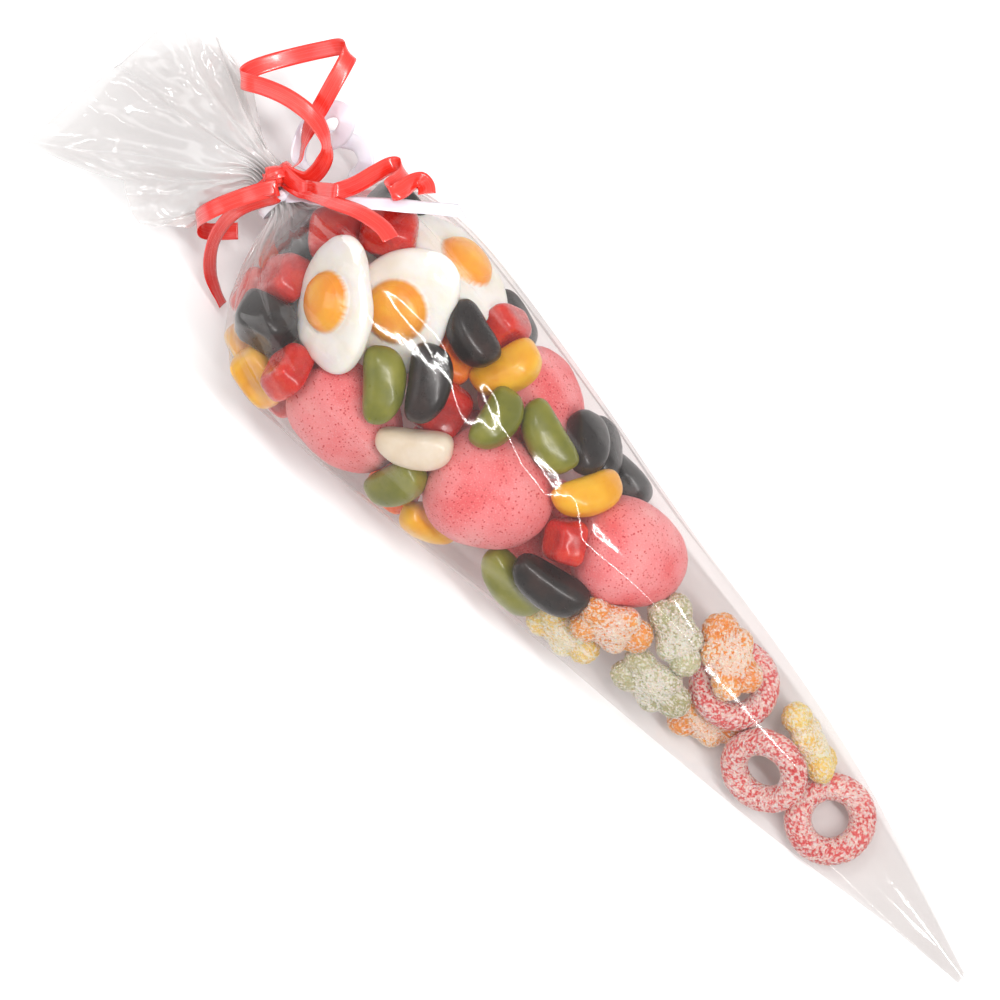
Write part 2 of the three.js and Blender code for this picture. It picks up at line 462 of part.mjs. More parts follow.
export default bag;
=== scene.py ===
import bpy, math, random, time
import numpy as np
from mathutils import Matrix, Vector, noise, kdtree


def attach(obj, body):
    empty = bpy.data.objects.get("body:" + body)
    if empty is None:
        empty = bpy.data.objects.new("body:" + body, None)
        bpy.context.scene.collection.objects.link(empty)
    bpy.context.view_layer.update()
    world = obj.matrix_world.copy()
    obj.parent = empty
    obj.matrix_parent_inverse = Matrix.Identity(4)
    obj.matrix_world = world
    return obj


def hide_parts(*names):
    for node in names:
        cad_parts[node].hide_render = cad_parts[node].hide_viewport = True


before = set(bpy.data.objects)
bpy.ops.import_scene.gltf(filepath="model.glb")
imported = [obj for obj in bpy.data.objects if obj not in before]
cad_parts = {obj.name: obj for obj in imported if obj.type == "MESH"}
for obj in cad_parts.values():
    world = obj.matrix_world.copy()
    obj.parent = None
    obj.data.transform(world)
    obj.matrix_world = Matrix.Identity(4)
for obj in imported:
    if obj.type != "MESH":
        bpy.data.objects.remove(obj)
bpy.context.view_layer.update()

T0 = time.time()
MM = 0.001
SHIFT = np.array([184.7, 3.50676, 0.55])   # working frame (tip at the origin) to the part's frame, mm


def to_m(p):
    return (np.asarray(p, float) + SHIFT) * MM


# ------------------------------------------------------------------ camera
CAM_W = np.array([-200.6, -10.74, 1030.0])
RIGHT = np.array([0.6526, 0.7577, 0.0])
UP = np.array([-0.7577, 0.6526, 0.0])
cam_data = bpy.data.cameras.new("camera")
cam = bpy.data.objects.new("camera", cam_data)
bpy.context.scene.collection.objects.link(cam)
cam_data.sensor_width = 36
cam_data.lens = 124.56
cam_data.clip_start = 0.05
cam_data.clip_end = 20
m = Matrix.Identity(4)
for r in range(3):
    m[r][0], m[r][1], m[r][2], m[r][3] = RIGHT[r], UP[r], (0, 0, 1)[r], to_m(CAM_W)[r]
cam.matrix_world = m
bpy.context.scene.camera = cam

# ------------------------------------------------------------------ tables, mm in the working frame
# name, kind, colour, length, width, thickness, place x y z, quaternion w x y z
SWEETS = [
  ['jelly_bean_green_1', 'bean', 'green', 22.5, 12.2, 11.4,  -246.68, -14.75, 57.01,  0.37628, 0.01539, 0.03553, 0.9257],
  ['jelly_bean_black_1', 'bean', 'black', 23, 12.5, 11.5,  -238.6, -4.91, 57.67,  0.43156, -0.00158, 0.02393, 0.90177],
  ['jelly_bean_cream_1', 'bean', 'cream', 22.6, 11.2, 10.6,  -227.7, -19.38, 51.46,  0.92122, 0.17489, 0.00936, 0.34739],
  ['jelly_bean_green_2', 'bean', 'green', 22, 12, 11,  -223.73, -30.15, 40.26,  0.74043, 0.25908, -0.26874, 0.55895],
  ['jelly_bean_black_2', 'bean', 'black', 20.5, 11.6, 11,  -241.46, 13.67, 53,  0.95411, -0.27581, 0.01113, -0.11607],
  ['jelly_bean_yellow_1', 'bean', 'yellow', 21.5, 12.4, 11.4,  -227.47, 14.92, 46.12,  0.76176, -0.17859, -0.13219, 0.60857],
  ['jelly_bean_green_3', 'bean', 'green', 20, 11.5, 10.8,  -218.36, 3.27, 52.89,  0.58612, -0.2066, 0.11145, 0.77547],
  ['jelly_bean_green_4', 'bean', 'green', 23, 11.8, 11,  -205.39, 11.04, 47.58,  0.99179, -0.05639, -0.00257, -0.1147],
  ['jelly_bean_black_3', 'bean', 'black', 20, 11.5, 10.8,  -196.35, 18.65, 39.5,  0.39763, -0.10417, 0.41891, 0.80966],
  ['jelly_bean_black_4', 'bean', 'black', 20, 11.5, 10.8,  -192.22, 20.92, 28.02,  0.36722, -0.03029, 0.55791, 0.74362],
  ['jelly_bean_black_5', 'bean', 'black', 20.5, 11.5, 10.8,  -182.33, 20.66, 19.26,  0.71963, -0.67474, -0.12579, -0.10501],
  ['jelly_bean_yellow_2', 'bean', 'yellow', 21.6, 11.5, 10.7,  -185.59, 9.25, 43.47,  0.81062, -0.18393, 0.12851, 0.54087],
  ['jelly_bean_green_5', 'bean', 'green', 24, 12, 11,  -180.79, -23.79, 30.85,  0.91589, 0.35519, 0.16319, -0.09142],
  ['jelly_bean_black_6', 'bean', 'black', 25, 12.2, 11.4,  -172.93, -16.23, 38.81,  0.94373, 0.26826, 0.16963, 0.09291],
  ['jelly_bean_black_7', 'bean', 'black', 20, 11.5, 10.8,  -237.22, 25.65, 28.22,  0.80998, -0.51535, 0.27485, 0.05298],
  ['jelly_bean_yellow_3', 'bean', 'yellow', 20, 11.5, 10.8,  -209.66, -30.95, 26.07,  0.74311, 0.52319, 0.41218, -0.06458],
  ['wine_gum_black_1', 'gum', 'black', 16, 13.5, 10.5,  -295.7, -3.76, 32.93,  0.42293, -0.4915, -0.22146, 0.72836],
  ['wine_gum_orange_1', 'gum', 'orange', 15, 13, 10,  -295.98, -11.59, 20.55,  0.50637, -0.16746, -0.28536, 0.79631],
  ['wine_gum_red_1', 'gum', 'red', 16.5, 15.5, 10.5,  -288.72, 3.9, 44.48,  0.88593, -0.14846, -0.19767, 0.39244],
  ['wine_gum_red_2', 'gum', 'red', 16, 14.5, 10.5,  -278.98, 15.77, 50.82,  0.89418, -0.31983, -0.06218, 0.30705],
  ['wine_gum_black_2', 'gum', 'black', 16, 13.5, 10.5,  -283.38, 21.43, 37.88,  0.94172, -0.32444, 0.08079, 0.03699],
  ['wine_gum_red_3', 'gum', 'red', 15.5, 13.5, 10,  -293.01, -25.82, 28.07,  0.434, -0.37498, -0.54456, 0.61196],
  ['wine_gum_red_4', 'gum', 'red', 15.5, 14, 10,  -289.26, -16.27, 40.46,  0.81507, -0.01628, -0.50745, 0.27909],
  ['wine_gum_black_3', 'gum', 'black', 17, 16, 13,  -282.48, -28.82, 42.86,  0.81928, 0.5355, 0.00174, 0.20498],
  ['wine_gum_yellow_1', 'gum', 'yellow', 15, 13, 10,  -282.31, -37.37, 25.37,  0.15556, 0.00475, -0.66045, 0.73457],
  ['wine_gum_yellow_2', 'gum', 'yellow', 18, 12, 10,  -272.37, -40.23, 35.61,  0.98032, 0.18582, 0.04285, -0.05105],
  ['wine_gum_red_5', 'gum', 'red', 15.5, 14, 10,  -268, -32.84, 47.34,  0.27816, -0.49423, -0.27569, 0.77612],
  ['wine_gum_red_6', 'gum', 'red', 15.5, 13, 10,  -266.28, -37.97, 24.65,  0.94786, 0.31853, -0.002, 0.0099],
  ['wine_gum_red_7', 'gum', 'red', 16, 14, 10,  -230.22, -6.38, 46.27,  0.58596, 0.18891, 0.12518, 0.77801],
  ['wine_gum_orange_2', 'gum', 'orange', 15.5, 13.5, 10,  -240.28, 6.22, 43.7,  0.5638, 0.01796, 0.23719, 0.79091],
  ['wine_gum_red_8', 'gum', 'red', 14.4, 13, 9.3,  -179.79, -4.65, 41.06,  0.81833, 0.19814, -0.4678, 0.26877],
  ['wine_gum_orange_3', 'gum', 'orange', 15.5, 13, 10,  -224, -31.89, 22.86,  0.89056, 0.43818, -0.07022, 0.0998],
  ['wine_gum_red_9', 'gum', 'red', 15.5, 13.5, 10,  -236.61, 21.7, 42.27,  0.84534, 0.14224, 0.50938, 0.07555],
  ['fried_egg_1', 'egg', 'egg', 39, 30, 7.2,  -272.3, -10.13, 53.79,  0.35391, -0.13547, -0.3773, 0.84501],
  ['fried_egg_2', 'egg', 'egg', 42, 31, 7.2,  -259.79, 1.8, 50.87,  0.63268, 0.08898, -0.12611, 0.75888],
  ['fried_egg_3', 'egg', 'egg', 40, 30, 7.2,  -277.97, -10.44, 34.25,  0.81468, -0.04545, -0.28201, 0.50467],
  ['fried_egg_4', 'egg', 'egg', 40, 30, 7.2,  -259.29, 23.47, 39.12,  0.86877, -0.49132, -0.04772, -0.03961],
  ['fried_egg_5', 'egg', 'egg', 39, 29, 7.2,  -250.98, 16.44, 28.56,  0.87288, -0.44243, 0.18986, 0.07925],
  ['foam_strawberry_1', 'straw', 'pink', 36.3, 32.3, 26.5,  -247.35, -27.44, 37.4,  0.94728, 0.27889, 0.11947, -0.10297],
  ['foam_strawberry_2', 'straw', 'pink', 34, 31, 26,  -214.94, 14.1, 27,  0.91891, -0.38395, 0.07633, -0.04868],
  ['foam_strawberry_3', 'straw', 'pink', 38, 36, 28,  -204.34, -11.1, 38.66,  0.9716, 0.06934, 0.06971, 0.21525],
  ['foam_strawberry_4', 'straw', 'pink', 37, 33, 27,  -164.23, 7.27, 27.82,  0.9284, -0.1182, 0.23803, 0.25972],
  ['fizzy_orange_1', 'sour', 'sugar_orange', 26, 16.5, 10,  -151.41, -9.82, 31.65,  0.92896, 0.24336, 0.20409, 0.19015],
  ['fizzy_yellow_1', 'sour', 'sugar_yellow', 25, 16, 10,  -159.09, -21.23, 22.68,  0.92192, 0.37511, 0.08611, 0.04398],
  ['fizzy_green_1', 'sour', 'sugar_green', 27, 16.5, 10,  -130.55, -11.89, 20.65,  0.965, 0.22719, 0.11136, 0.06899],
  ['fizzy_green_2', 'sour', 'sugar_green', 26, 15, 10,  -137.19, 2.36, 26.54,  0.97287, -0.08633, 0.10709, -0.18603],
  ['fizzy_orange_2', 'sour', 'sugar_orange', 27, 18, 10.5,  -123.01, 10.14, 22.01,  0.18081, 0.08605, 0.18453, 0.96221],
  ['fizzy_yellow_2', 'sour', 'sugar_yellow', 27, 16.5, 10,  -87.43, 11.74, 11.16,  0.02658, 0.14897, 0.56524, 0.81093],
  ['fizzy_ring_1', 'ring', 'ring', 27.5, 27.5, 8,  -114.71, 6.17, 13.43,  0.9142, -0.12334, 0.05858, 0.38156],
  ['fizzy_ring_2', 'ring', 'ring', 27, 27, 8,  -89.72, -3.81, 13.15,  0.84798, 0.27725, -0.12983, 0.43268],
  ['fizzy_ring_3', 'ring', 'ring', 27.5, 27.5, 8,  -65.37, 1.69, 6.57,  0.87303, 0.01577, 0.02305, 0.48686],
  ['fizzy_orange_3', 'sour', 'sugar_orange', 25, 16, 10,  -110.9, -6.41, 6.29,  0.95476, 0.13441, 0.09202, 0.24881],
  ['foam_strawberry_5', 'straw', 'pink', 36.7, 32.8, 27,  -278.15, 10.15, 19.37,  -0.24377, 0.95489, 0.15851, -0.06023],
  ['foam_strawberry_6', 'straw', 'pink', 36.7, 32.8, 27,  -263.5, -16.68, 16.62,  0.06554, -0.21322, 0.9725, -0.06692],
  ['fried_egg_6', 'egg', 'egg', 41, 31, 7.2,  -242.37, 3.97, 9.91,  -0.16518, 0.96184, 0.12214, 0.18073],
  ['foam_strawberry_7', 'straw', 'pink', 36, 33, 27,  -216.34, -11.37, 15.02,  0.02719, -0.32287, 0.94181, -0.08954],
  ['foam_strawberry_8', 'straw', 'pink', 36, 32, 26,  -180.54, -5.47, 13.94,  0.11672, 0.9836, 0.05029, -0.12802],
]
# centre x y z and the direction of the width
RED = {
  "red_left": [
    [-312.8, -2.6, 38, -0.91, 0.39, 0.1],
    [-309.78, -0.44, 41.2, -0.89, 0.44, 0.1],
    [-311.84, -4.65, 41.7, -0.92, 0.39, 0],
    [-314.26, -9.88, 40.2, -0.93, 0.36, 0],
    [-316.75, -15.32, 36.2, -0.93, 0.36, 0],
    [-318.55, -20.55, 33.2, -0.92, 0.39, 0],
    [-319.71, -24.14, 26.4, -0.85, 0.53, 0],
    [-318.65, -25.55, 18.84, -0.79, 0.61, 0],
    [-316.14, -24.24, 15.37, -0.76, 0.65, 0],
    [-313.11, -20.68, 15.07, -0.74, 0.67, 0],
    [-310.46, -17.47, 15.82, -0.74, 0.67, 0],
  ],
  "red_tail": [
    [-312.7, -2.2, 36.2, -0.9, 0.39, 0.2],
    [-307.91, -2.34, 42.2, -0.48, 0.21, 0.85],
    [-309.78, -6.69, 38.8, -0.48, 0.21, 0.85],
    [-312.08, -11.72, 36.7, -0.51, 0.17, 0.84],
    [-313.17, -16.06, 33.2, -0.6, -0.08, 0.8],
    [-313.08, -20.97, 27.16, -0.53, -0.32, 0.78],
    [-311.86, -25.45, 20.36, -0.35, -0.41, 0.84],
    [-309.76, -29.07, 14.31, -0.33, -0.38, 0.86],
    [-306.62, -32.04, 8.42, -0.33, -0.38, 0.86],
    [-302.64, -33.89, 5, -0.4, -0.31, 0.86],
    [-298.07, -35.26, 3.4, -0.44, -0.28, 0.85],
  ],
  "red_loop": [
    [-313, 3.2, 38.4, -0.92, 0.33, 0.2],
    [-306.74, 6.3, 40.2, -0.94, 0.33, 0.1],
    [-305.59, 9.98, 42.2, -0.98, 0.04, 0.2],
    [-306.4, 14.27, 45.2, -0.81, -0.34, 0.49],
    [-308.95, 17.54, 47.2, -0.33, -0.38, 0.86],
    [-312.96, 19.34, 47.7, -0.17, -0.81, 0.56],
    [-317.69, 20.01, 47.2, 0.16, -0.97, 0.2],
    [-323, 19.25, 46.2, 0.33, -0.95, 0],
    [-328.25, 17.69, 45.2, 0.37, -0.93, 0],
    [-333.71, 15.12, 43.7, 0.48, -0.88, 0],
    [-338, 12.56, 41.2, 0.65, -0.76, 0],
    [-340.63, 11.78, 37.2, 0.76, -0.65, 0],
    [-341.44, 14.8, 33.7, 0.85, -0.53, 0],
    [-340.25, 19.67, 31.69, 0.9, -0.44, 0],
    [-336.37, 28.08, 30.93, 0.89, -0.45, 0],
    [-332.13, 35.57, 32.44, 0.89, -0.45, 0],
    [-329.12, 39.62, 35.2, 0.94, -0.34, 0],
    [-325.87, 40.06, 38.7, 0.99, -0.13, 0],
    [-324.01, 36.66, 40.2, 0.98, 0.21, 0],
    [-321.98, 31.13, 40.2, 0.95, 0.33, 0],
    [-319.88, 25.06, 38.7, 0.95, 0.33, 0],
    [-318.32, 20.18, 36.7, 0.91, 0.36, 0.2],
    [-316.74, 16.47, 35.7, 0.71, 0.35, 0.62],
    [-314.19, 12.38, 35.7, 0.23, 0.27, 0.94],
    [-311.77, 8.06, 36.2, 0.23, 0.27, 0.94],
    [-314, 0, 38.3, 0.42, 0.17, 0.89],
  ],
  "red_right": [
    [-313.6, 3.2, 37.2, -0.76, 0.65, 0],
    [-305.61, 4.08, 43.52, -0.76, 0.65, 0],
    [-303.31, 5.62, 45.46, -0.76, 0.64, 0],
    [-300.89, 6.95, 51.43, -0.77, 0.64, 0],
    [-298.4, 8.83, 55.7, -0.74, 0.68, 0],
    [-296.05, 11.1, 59.04, -0.69, 0.73, 0],
    [-294.35, 16.83, 55.21, -0.95, 0.31, 0],
    [-293.48, 23.01, 52.25, -0.97, 0.23, 0.1],
    [-292.6, 27.73, 49.26, -0.93, 0.29, 0.2],
    [-290.36, 29.95, 50.39, -0.95, 0.22, 0.2],
    [-287.82, 29.38, 53.71, -0.99, 0, 0.1],
    [-287.33, 26.47, 56.92, -0.96, -0.18, 0.2],
    [-287.26, 23.18, 59.49, -0.9, -0.07, 0.43],
    [-285.61, 22.22, 61.65, -0.75, 0.24, 0.62],
    [-284.51, 24.92, 60.58, -0.97, 0.15, 0.21],
    [-284.41, 28.44, 57.75, -0.86, 0.47, 0.2],
    [-283.59, 31, 55.56, -0.29, 0.93, 0.21],
    [-281.14, 31.14, 56.39, 0.29, 0.95, 0.1],
    [-279.07, 29.8, 58.56, 0.65, 0.75, 0.1],
  ],
  "red_low": [
    [-312.2, 2.5, 36, -0.69, 0.72, 0],
    [-304.41, 3.77, 43.2, -0.19, 0.78, -0.6],
    [-301.3, 5.28, 49.03, -0.04, 0.9, -0.44],
    [-298.45, 6.56, 54.48, -0.06, 0.9, -0.42],
    [-295.61, 7.75, 58.96, -0.1, 0.89, -0.45],
    [-292.92, 8.96, 62.06, -0.02, 0.93, -0.36],
    [-288.17, 11.37, 66.2, -0.16, 0.87, -0.47],
    [-283.52, 13.02, 68.93, -0.12, 0.9, -0.42],
    [-278.95, 13.91, 70.22, 0.02, 0.92, -0.39],
    [-275.07, 13.56, 71.72, 0.13, 0.92, -0.36],
  ],
}
WHITE = {
  "white_band": [
    [-307.3, 0.2, 36, -0.69, 0.72, 0],
    [-302.37, 4.08, 40.61, -0.13, 0.83, -0.54],
    [-299.09, 5.88, 47.47, -0.11, 0.87, -0.49],
    [-294.21, 9.58, 54.11, -0.23, 0.76, -0.61],
    [-289.49, 13.91, 57.93, -0.45, 0.59, -0.67],
    [-285.1, 18.36, 59.55, -0.54, 0.52, -0.66],
    [-280.57, 22.93, 58.29, -0.68, 0.44, -0.58],
    [-275.76, 27.98, 55.71, -0.73, 0.31, -0.61],
    [-271.99, 32.08, 51.26, -0.88, 0.25, -0.41],
    [-269.86, 34.66, 46.95, -0.91, 0.21, -0.37],
  ],
  "white_curl": [
    [-307.3, 1.9, 35.7, -0.49, 0.7, 0.52],
    [-304.84, 8.17, 36.4, -0.81, 0.43, 0.4],
    [-308.65, 9.48, 30.18, -0.79, -0.44, 0.42],
    [-313.37, 9.44, 26.4, -0.56, -0.65, 0.51],
    [-316.7, 12.69, 26.4, -0.72, -0.52, 0.46],
    [-319.08, 18.25, 27.16, -0.94, -0.14, 0.31],
    [-318.77, 24.3, 30.18, -0.89, 0.44, 0.1],
    [-315.81, 27.66, 33.2, -0.32, 0.94, 0.1],
    [-311.82, 26.91, 33.7, 0.52, 0.83, 0.2],
    [-310.28, 23.09, 30.18, 0.91, 0.28, 0.3],
    [-311.71, 19.73, 24.13, 0.75, -0.24, 0.62],
    [-313.02, 20.76, 16.58, -0.58, -0.04, 0.82],
    [-310.64, 23.55, 13.56, -0.91, 0.37, 0.21],
    [-306.41, 25.85, 15.82, -0.32, 0.94, 0.1],
    [-301.59, 24.48, 17.33, 0.56, 0.8, 0.2],
    [-300, 20.72, 15.82, 0.91, 0.28, 0.3],
    [-301.49, 17.18, 12.8, 0.67, -0.17, 0.72],
  ],
}
# distance from the tip, centre y, centre z, half width, half height, pleat depth ratio
STATIONS = np.array([
  [5, 0.37, 0.9, 1.93, 1.65, 0],
  [14, 1.04, 1.7, 4.16, 2.45, 0],
  [30, 1.92, 3.1, 7.5, 3.85, 0],
  [48, 1.85, 4.76, 11.78, 5.76, 0],
  [62, 1.81, 6.8, 15.8, 8.4, 0],
  [72, 1.86, 9.76, 17.39, 11.36, 0],
  [80, 1.8, 11.4, 18.71, 13, 0],
  [96, 1.38, 12.9, 20.79, 14.5, 0],
  [114, 0.79, 15.64, 22.87, 17.24, 0],
  [134, -0.19, 18.84, 25.51, 20.44, 0],
  [154, -1.27, 22.04, 26.56, 23.04, 0],
  [176, -2.19, 25.53, 29.48, 26.53, 0],
  [198, -2.88, 28.44, 32.75, 29.44, 0],
  [220, -4.13, 30.73, 35.86, 31.73, 0],
  [242, -5.35, 32.39, 38.77, 33.39, 0],
  [262, -6.34, 33.3, 41.13, 34.3, 0],
  [275, -6.65, 32.8, 41.53, 33.8, 0],
  [285, -5.97, 31, 39.36, 32, 0],
  [291.2, -6, 29.6, 36, 28.2, 0],
  [296.4, -5.5, 28.6, 29, 22.6, 0],
  [300.6, -4.5, 27.4, 20.6, 16.2, 0.02],
  [303.8, -3.6, 25.6, 11.6, 9.8, 0.05],
  [306.4, -1.4, 26.5, 6.8, 6.8, 0.08],
  [315.8, -1.4, 26.3, 6.8, 6.8, 0.08],
  [319.2, -4, 25.4, 12, 9, 0.1],
  [328, -11, 22.4, 21, 11, 0.12],
  [346, -13, 17.5, 27, 12, 0.13],
  [370, -20, 14, 25, 11.5, 0.14],
])


# ------------------------------------------------------------------ helpers
def new_piece(name, verts, faces, smooth=True):
    me = bpy.data.meshes.new(name)
    verts = np.asarray(verts, np.float32)
    faces = np.asarray(faces, np.int32)
    k = faces.shape[1]
    me.vertices.add(len(verts))
    me.vertices.foreach_set("co", verts.ravel())
    me.loops.add(faces.size)
    me.loops.foreach_set("vertex_index", faces.ravel())
    me.polygons.add(len(faces))
    me.polygons.foreach_set("loop_start", np.arange(0, faces.size, k, dtype=np.int32))
    me.polygons.foreach_set("loop_total", np.full(len(faces), k, np.int32))
    me.update(calc_edges=True)
    me.validate()
    me.polygons.foreach_set("use_smooth", np.full(len(faces), smooth, bool))
    o = bpy.data.objects.new(name, me)
    bpy.context.scene.collection.objects.link(o)
    return o


def point_attr(o, name, values):
    a = o.data.attributes.new(name, "FLOAT", "POINT")
    a.data.foreach_set("value", np.asarray(values, np.float32))


_ball = {}


def ball(n):
    """even directions over a sphere: (verts, quads)"""
    if n in _ball:
        return _ball[n]
    t = np.tan(np.linspace(-np.pi / 4, np.pi / 4, n + 1))
    u, v = np.meshgrid(t, t, indexing="ij")
    one = np.ones_like(u)
    sides = [(one, u, v), (-one, v, u), (v, one, u), (u, -one, v), (u, v, one), (v, u, -one)]
    P, F = [], []
    for k, s in enumerate(sides):
        g = np.stack(s, -1).reshape(-1, 3)
        P.append(g / np.linalg.norm(g, axis=1)[:, None])
        i = np.arange(n)[:, None] * (n + 1) + np.arange(n)[None, :] + k * (n + 1) ** 2
        i = i.ravel()
        F.append(np.stack([i, i + n + 1, i + n + 2, i + 1], 1))
    P = np.concatenate(P)
    F = np.concatenate(F)
    _, first, inv = np.unique(np.round(P, 6), axis=0, return_index=True, return_inverse=True)
    _ball[n] = (P[first], inv.reshape(-1)[F])
    return _ball[n]


def noise3(P, scale, seed=0.0, octaves=1):
    out = np.empty(len(P))
    for i, p in enumerate(P * scale + seed):
        v = Vector(p)
        out[i] = noise.fractal(v, 0.5, 2.0, octaves) if octaves > 1 else noise.noise(v)
    return out


def rot(q):
    w, x, y, z = q
    return np.array([[1 - 2 * (y * y + z * z), 2 * (x * y - w * z), 2 * (x * z + w * y)],
                     [2 * (x * y + w * z), 1 - 2 * (x * x + z * z), 2 * (y * z - w * x)],
                     [2 * (x * z - w * y), 2 * (y * z + w * x), 1 - 2 * (x * x + y * y)]])


# ------------------------------------------------------------------ materials
def material(name):
    mat = bpy.data.materials.new(name)
    mat.use_nodes = True
    nt = mat.node_tree
    nt.nodes.clear()
    out = nt.nodes.new("ShaderNodeOutputMaterial")
    b = nt.nodes.new("ShaderNodeBsdfPrincipled")
    nt.links.new(b.outputs[0], out.inputs[0])
    return mat, nt, b, out


def coords(nt, scale=1000.0):
    tc = nt.nodes.new("ShaderNodeTexCoord")
    mp = nt.nodes.new("ShaderNodeMapping")
    mp.inputs["Scale"].default_value = (scale,) * 3
    nt.links.new(tc.outputs["Object"], mp.inputs[0])
    return mp.outputs[0]


def tex_noise(nt, vec, scale, detail=2.0, rough=0.5):
    n = nt.nodes.new("ShaderNodeTexNoise")
    n.inputs["Scale"].default_value = scale
    n.inputs["Detail"].default_value = detail
    n.inputs["Roughness"].default_value = rough
    nt.links.new(vec, n.inputs["Vector"])
    return n.outputs["Fac"]


def ramp(nt, fac, stops):
    r = nt.nodes.new("ShaderNodeValToRGB")
    el = r.color_ramp.elements
    while len(el) < len(stops):
        el.new(0.5)
    for e, (p, c) in zip(el, stops):
        e.position = p
        e.color = (*c, 1.0) if len(c) == 3 else c
    nt.links.new(fac, r.inputs[0])
    return r.outputs["Color"]


def maprange(nt, fac, a, b, c, d):
    r = nt.nodes.new("ShaderNodeMapRange")
    for k, v in zip(("From Min", "From Max", "To Min", "To Max"), (a, b, c, d)):
        r.inputs[k].default_value = v
    nt.links.new(fac, r.inputs["Value"])
    return r.outputs["Result"]


def mixrgb(nt, fac, a, b):
    x = nt.nodes.new("ShaderNodeMix")
    x.data_type = "RGBA"
    for sock, val in ((x.inputs["Factor"], fac), (x.inputs[6], a), (x.inputs[7], b)):
        if hasattr(val, "is_linked"):
            nt.links.new(val, sock)
        elif isinstance(val, (int, float)):
            sock.default_value = val
        else:
            sock.default_value = (*val, 1.0)
    return x.outputs[2]


def bump(nt, b, height, strength, dist):
    n = nt.nodes.new("ShaderNodeBump")
    n.inputs["Strength"].default_value = strength
    n.inputs["Distance"].default_value = dist
    nt.links.new(height, n.inputs["Height"])
    nt.links.new(n.outputs[0], b.inputs["Normal"])
    return n


def candy(name, base, dark, light, rough=0.3, sss=0.5, radius=(3, 1, 0.6), coat=0.25, transmission=0.0):
    """smooth jelly or sugar-shell sweet: clouded colour, satin gloss, fine orange-peel"""
    mat, nt, b, out = material(name)
    v = coords(nt)
    big = tex_noise(nt, v, 0.11, 3.0, 0.55)
    col = ramp(nt, big, [(0.28, dark), (0.5, base), (0.75, light)])
    nt.links.new(col, b.inputs["Base Color"])
    r = tex_noise(nt, v, 0.6, 3.0, 0.6)
    nt.links.new(maprange(nt, r, 0.3, 0.7, rough - 0.07, rough + 0.09), b.inputs["Roughness"])
    b.inputs["Subsurface Weight"].default_value = sss
    b.inputs["Subsurface Radius"].default_value = radius
    b.inputs["Subsurface Scale"].default_value = 0.001
    b.inputs["Coat Weight"].default_value = coat
    b.inputs["Coat Roughness"].default_value = 0.16
    b.inputs["Transmission Weight"].default_value = transmission
    b.inputs["IOR"].default_value = 1.45
    h = tex_noise(nt, v, 0.35, 2.0, 0.5)
    bump(nt, b, h, 0.22, 0.0004)
    return mat


def foam_material():
    mat, nt, b, out = material("foam_strawberry")
    v = coords(nt)
    big = tex_noise(nt, v, 0.07, 2.0, 0.5)
    col = ramp(nt, big, [(0.3, (0.95, 0.36, 0.36)), (0.5, (0.93, 0.27, 0.28)), (0.72, (0.86, 0.12, 0.13))])
    # darker red towards the moulded edge, stored per point
    at = nt.nodes.new("ShaderNodeAttribute")
    at.attribute_name = "edge"
    col = mixrgb(nt, maprange(nt, at.outputs["Fac"], 0.0, 1.0, 0.0, 0.75), col, (0.72, 0.035, 0.04))
    # fine specks
    vo = nt.nodes.new("ShaderNodeTexVoronoi")
    vo.inputs["Scale"].default_value = 1.1
    nt.links.new(v, vo.inputs["Vector"])
    speck = maprange(nt, vo.outputs["Distance"], 0.20, 0.38, 1.0, 0.0)
    pick = tex_noise(nt, v, 0.8, 1.0, 0.5)
    pk = maprange(nt, pick, 0.46, 0.54, 0.0, 1.0)
    mul = nt.nodes.new("ShaderNodeMath")
    mul.operation = "MULTIPLY"
    nt.links.new(speck, mul.inputs[0])
    nt.links.new(pk, mul.inputs[1])
    col = mixrgb(nt, mul.outputs[0], col, (0.62, 0.02, 0.03))
    fine = tex_noise(nt, v, 2.4, 2.0, 0.6)
    col = mixrgb(nt, maprange(nt, fine, 0.56, 0.72, 0.0, 0.45), col, (1.0, 0.62, 0.60))
    nt.links.new(col, b.inputs["Base Color"])
    b.inputs["Roughness"].default_value = 0.62
    b.inputs["Subsurface Weight"].default_value = 0.5
    b.inputs["Subsurface Radius"].default_value = (2.2, 0.8, 0.7)
    b.inputs["Subsurface Scale"].default_value = 0.001
    bump(nt, b, tex_noise(nt, v, 1.9, 4.0, 0.65), 0.55, 0.0005)
    return mat


def egg_material():
    mat, nt, b, out = material("egg_gummy")
    v = coords(nt)
    white = ramp(nt, tex_noise(nt, v, 0.12, 2.0, 0.5), [(0.3, (0.90, 0.86, 0.76)), (0.7, (0.98, 0.965, 0.92))])
    yolk = ramp(nt, tex_noise(nt, v, 0.13, 2.0, 0.5), [(0.3, (0.90, 0.30, 0.006)), (0.7, (0.96, 0.46, 0.02))])
    at = nt.nodes.new("ShaderNodeAttribute")
    at.attribute_name = "yolk"
    f = maprange(nt, at.outputs["Fac"], 0.44, 0.54, 0.0, 1.0)
    nt.links.new(mixrgb(nt, f, white, yolk), b.inputs["Base Color"])
    nt.links.new(maprange(nt, at.outputs["Fac"], 0.3, 0.7, 0.42, 0.26), b.inputs["Roughness"])
    b.inputs["Subsurface Weight"].default_value = 0.6
    b.inputs["Subsurface Radius"].default_value = (2.5, 1.8, 1.2)
    b.inputs["Subsurface Scale"].default_value = 0.001
    b.inputs["Coat Weight"].default_value = 0.15
    b.inputs["Coat Roughness"].default_value = 0.2
    bump(nt, b, tex_noise(nt, v, 0.9, 4.0, 0.6), 0.3, 0.0004)
    return mat


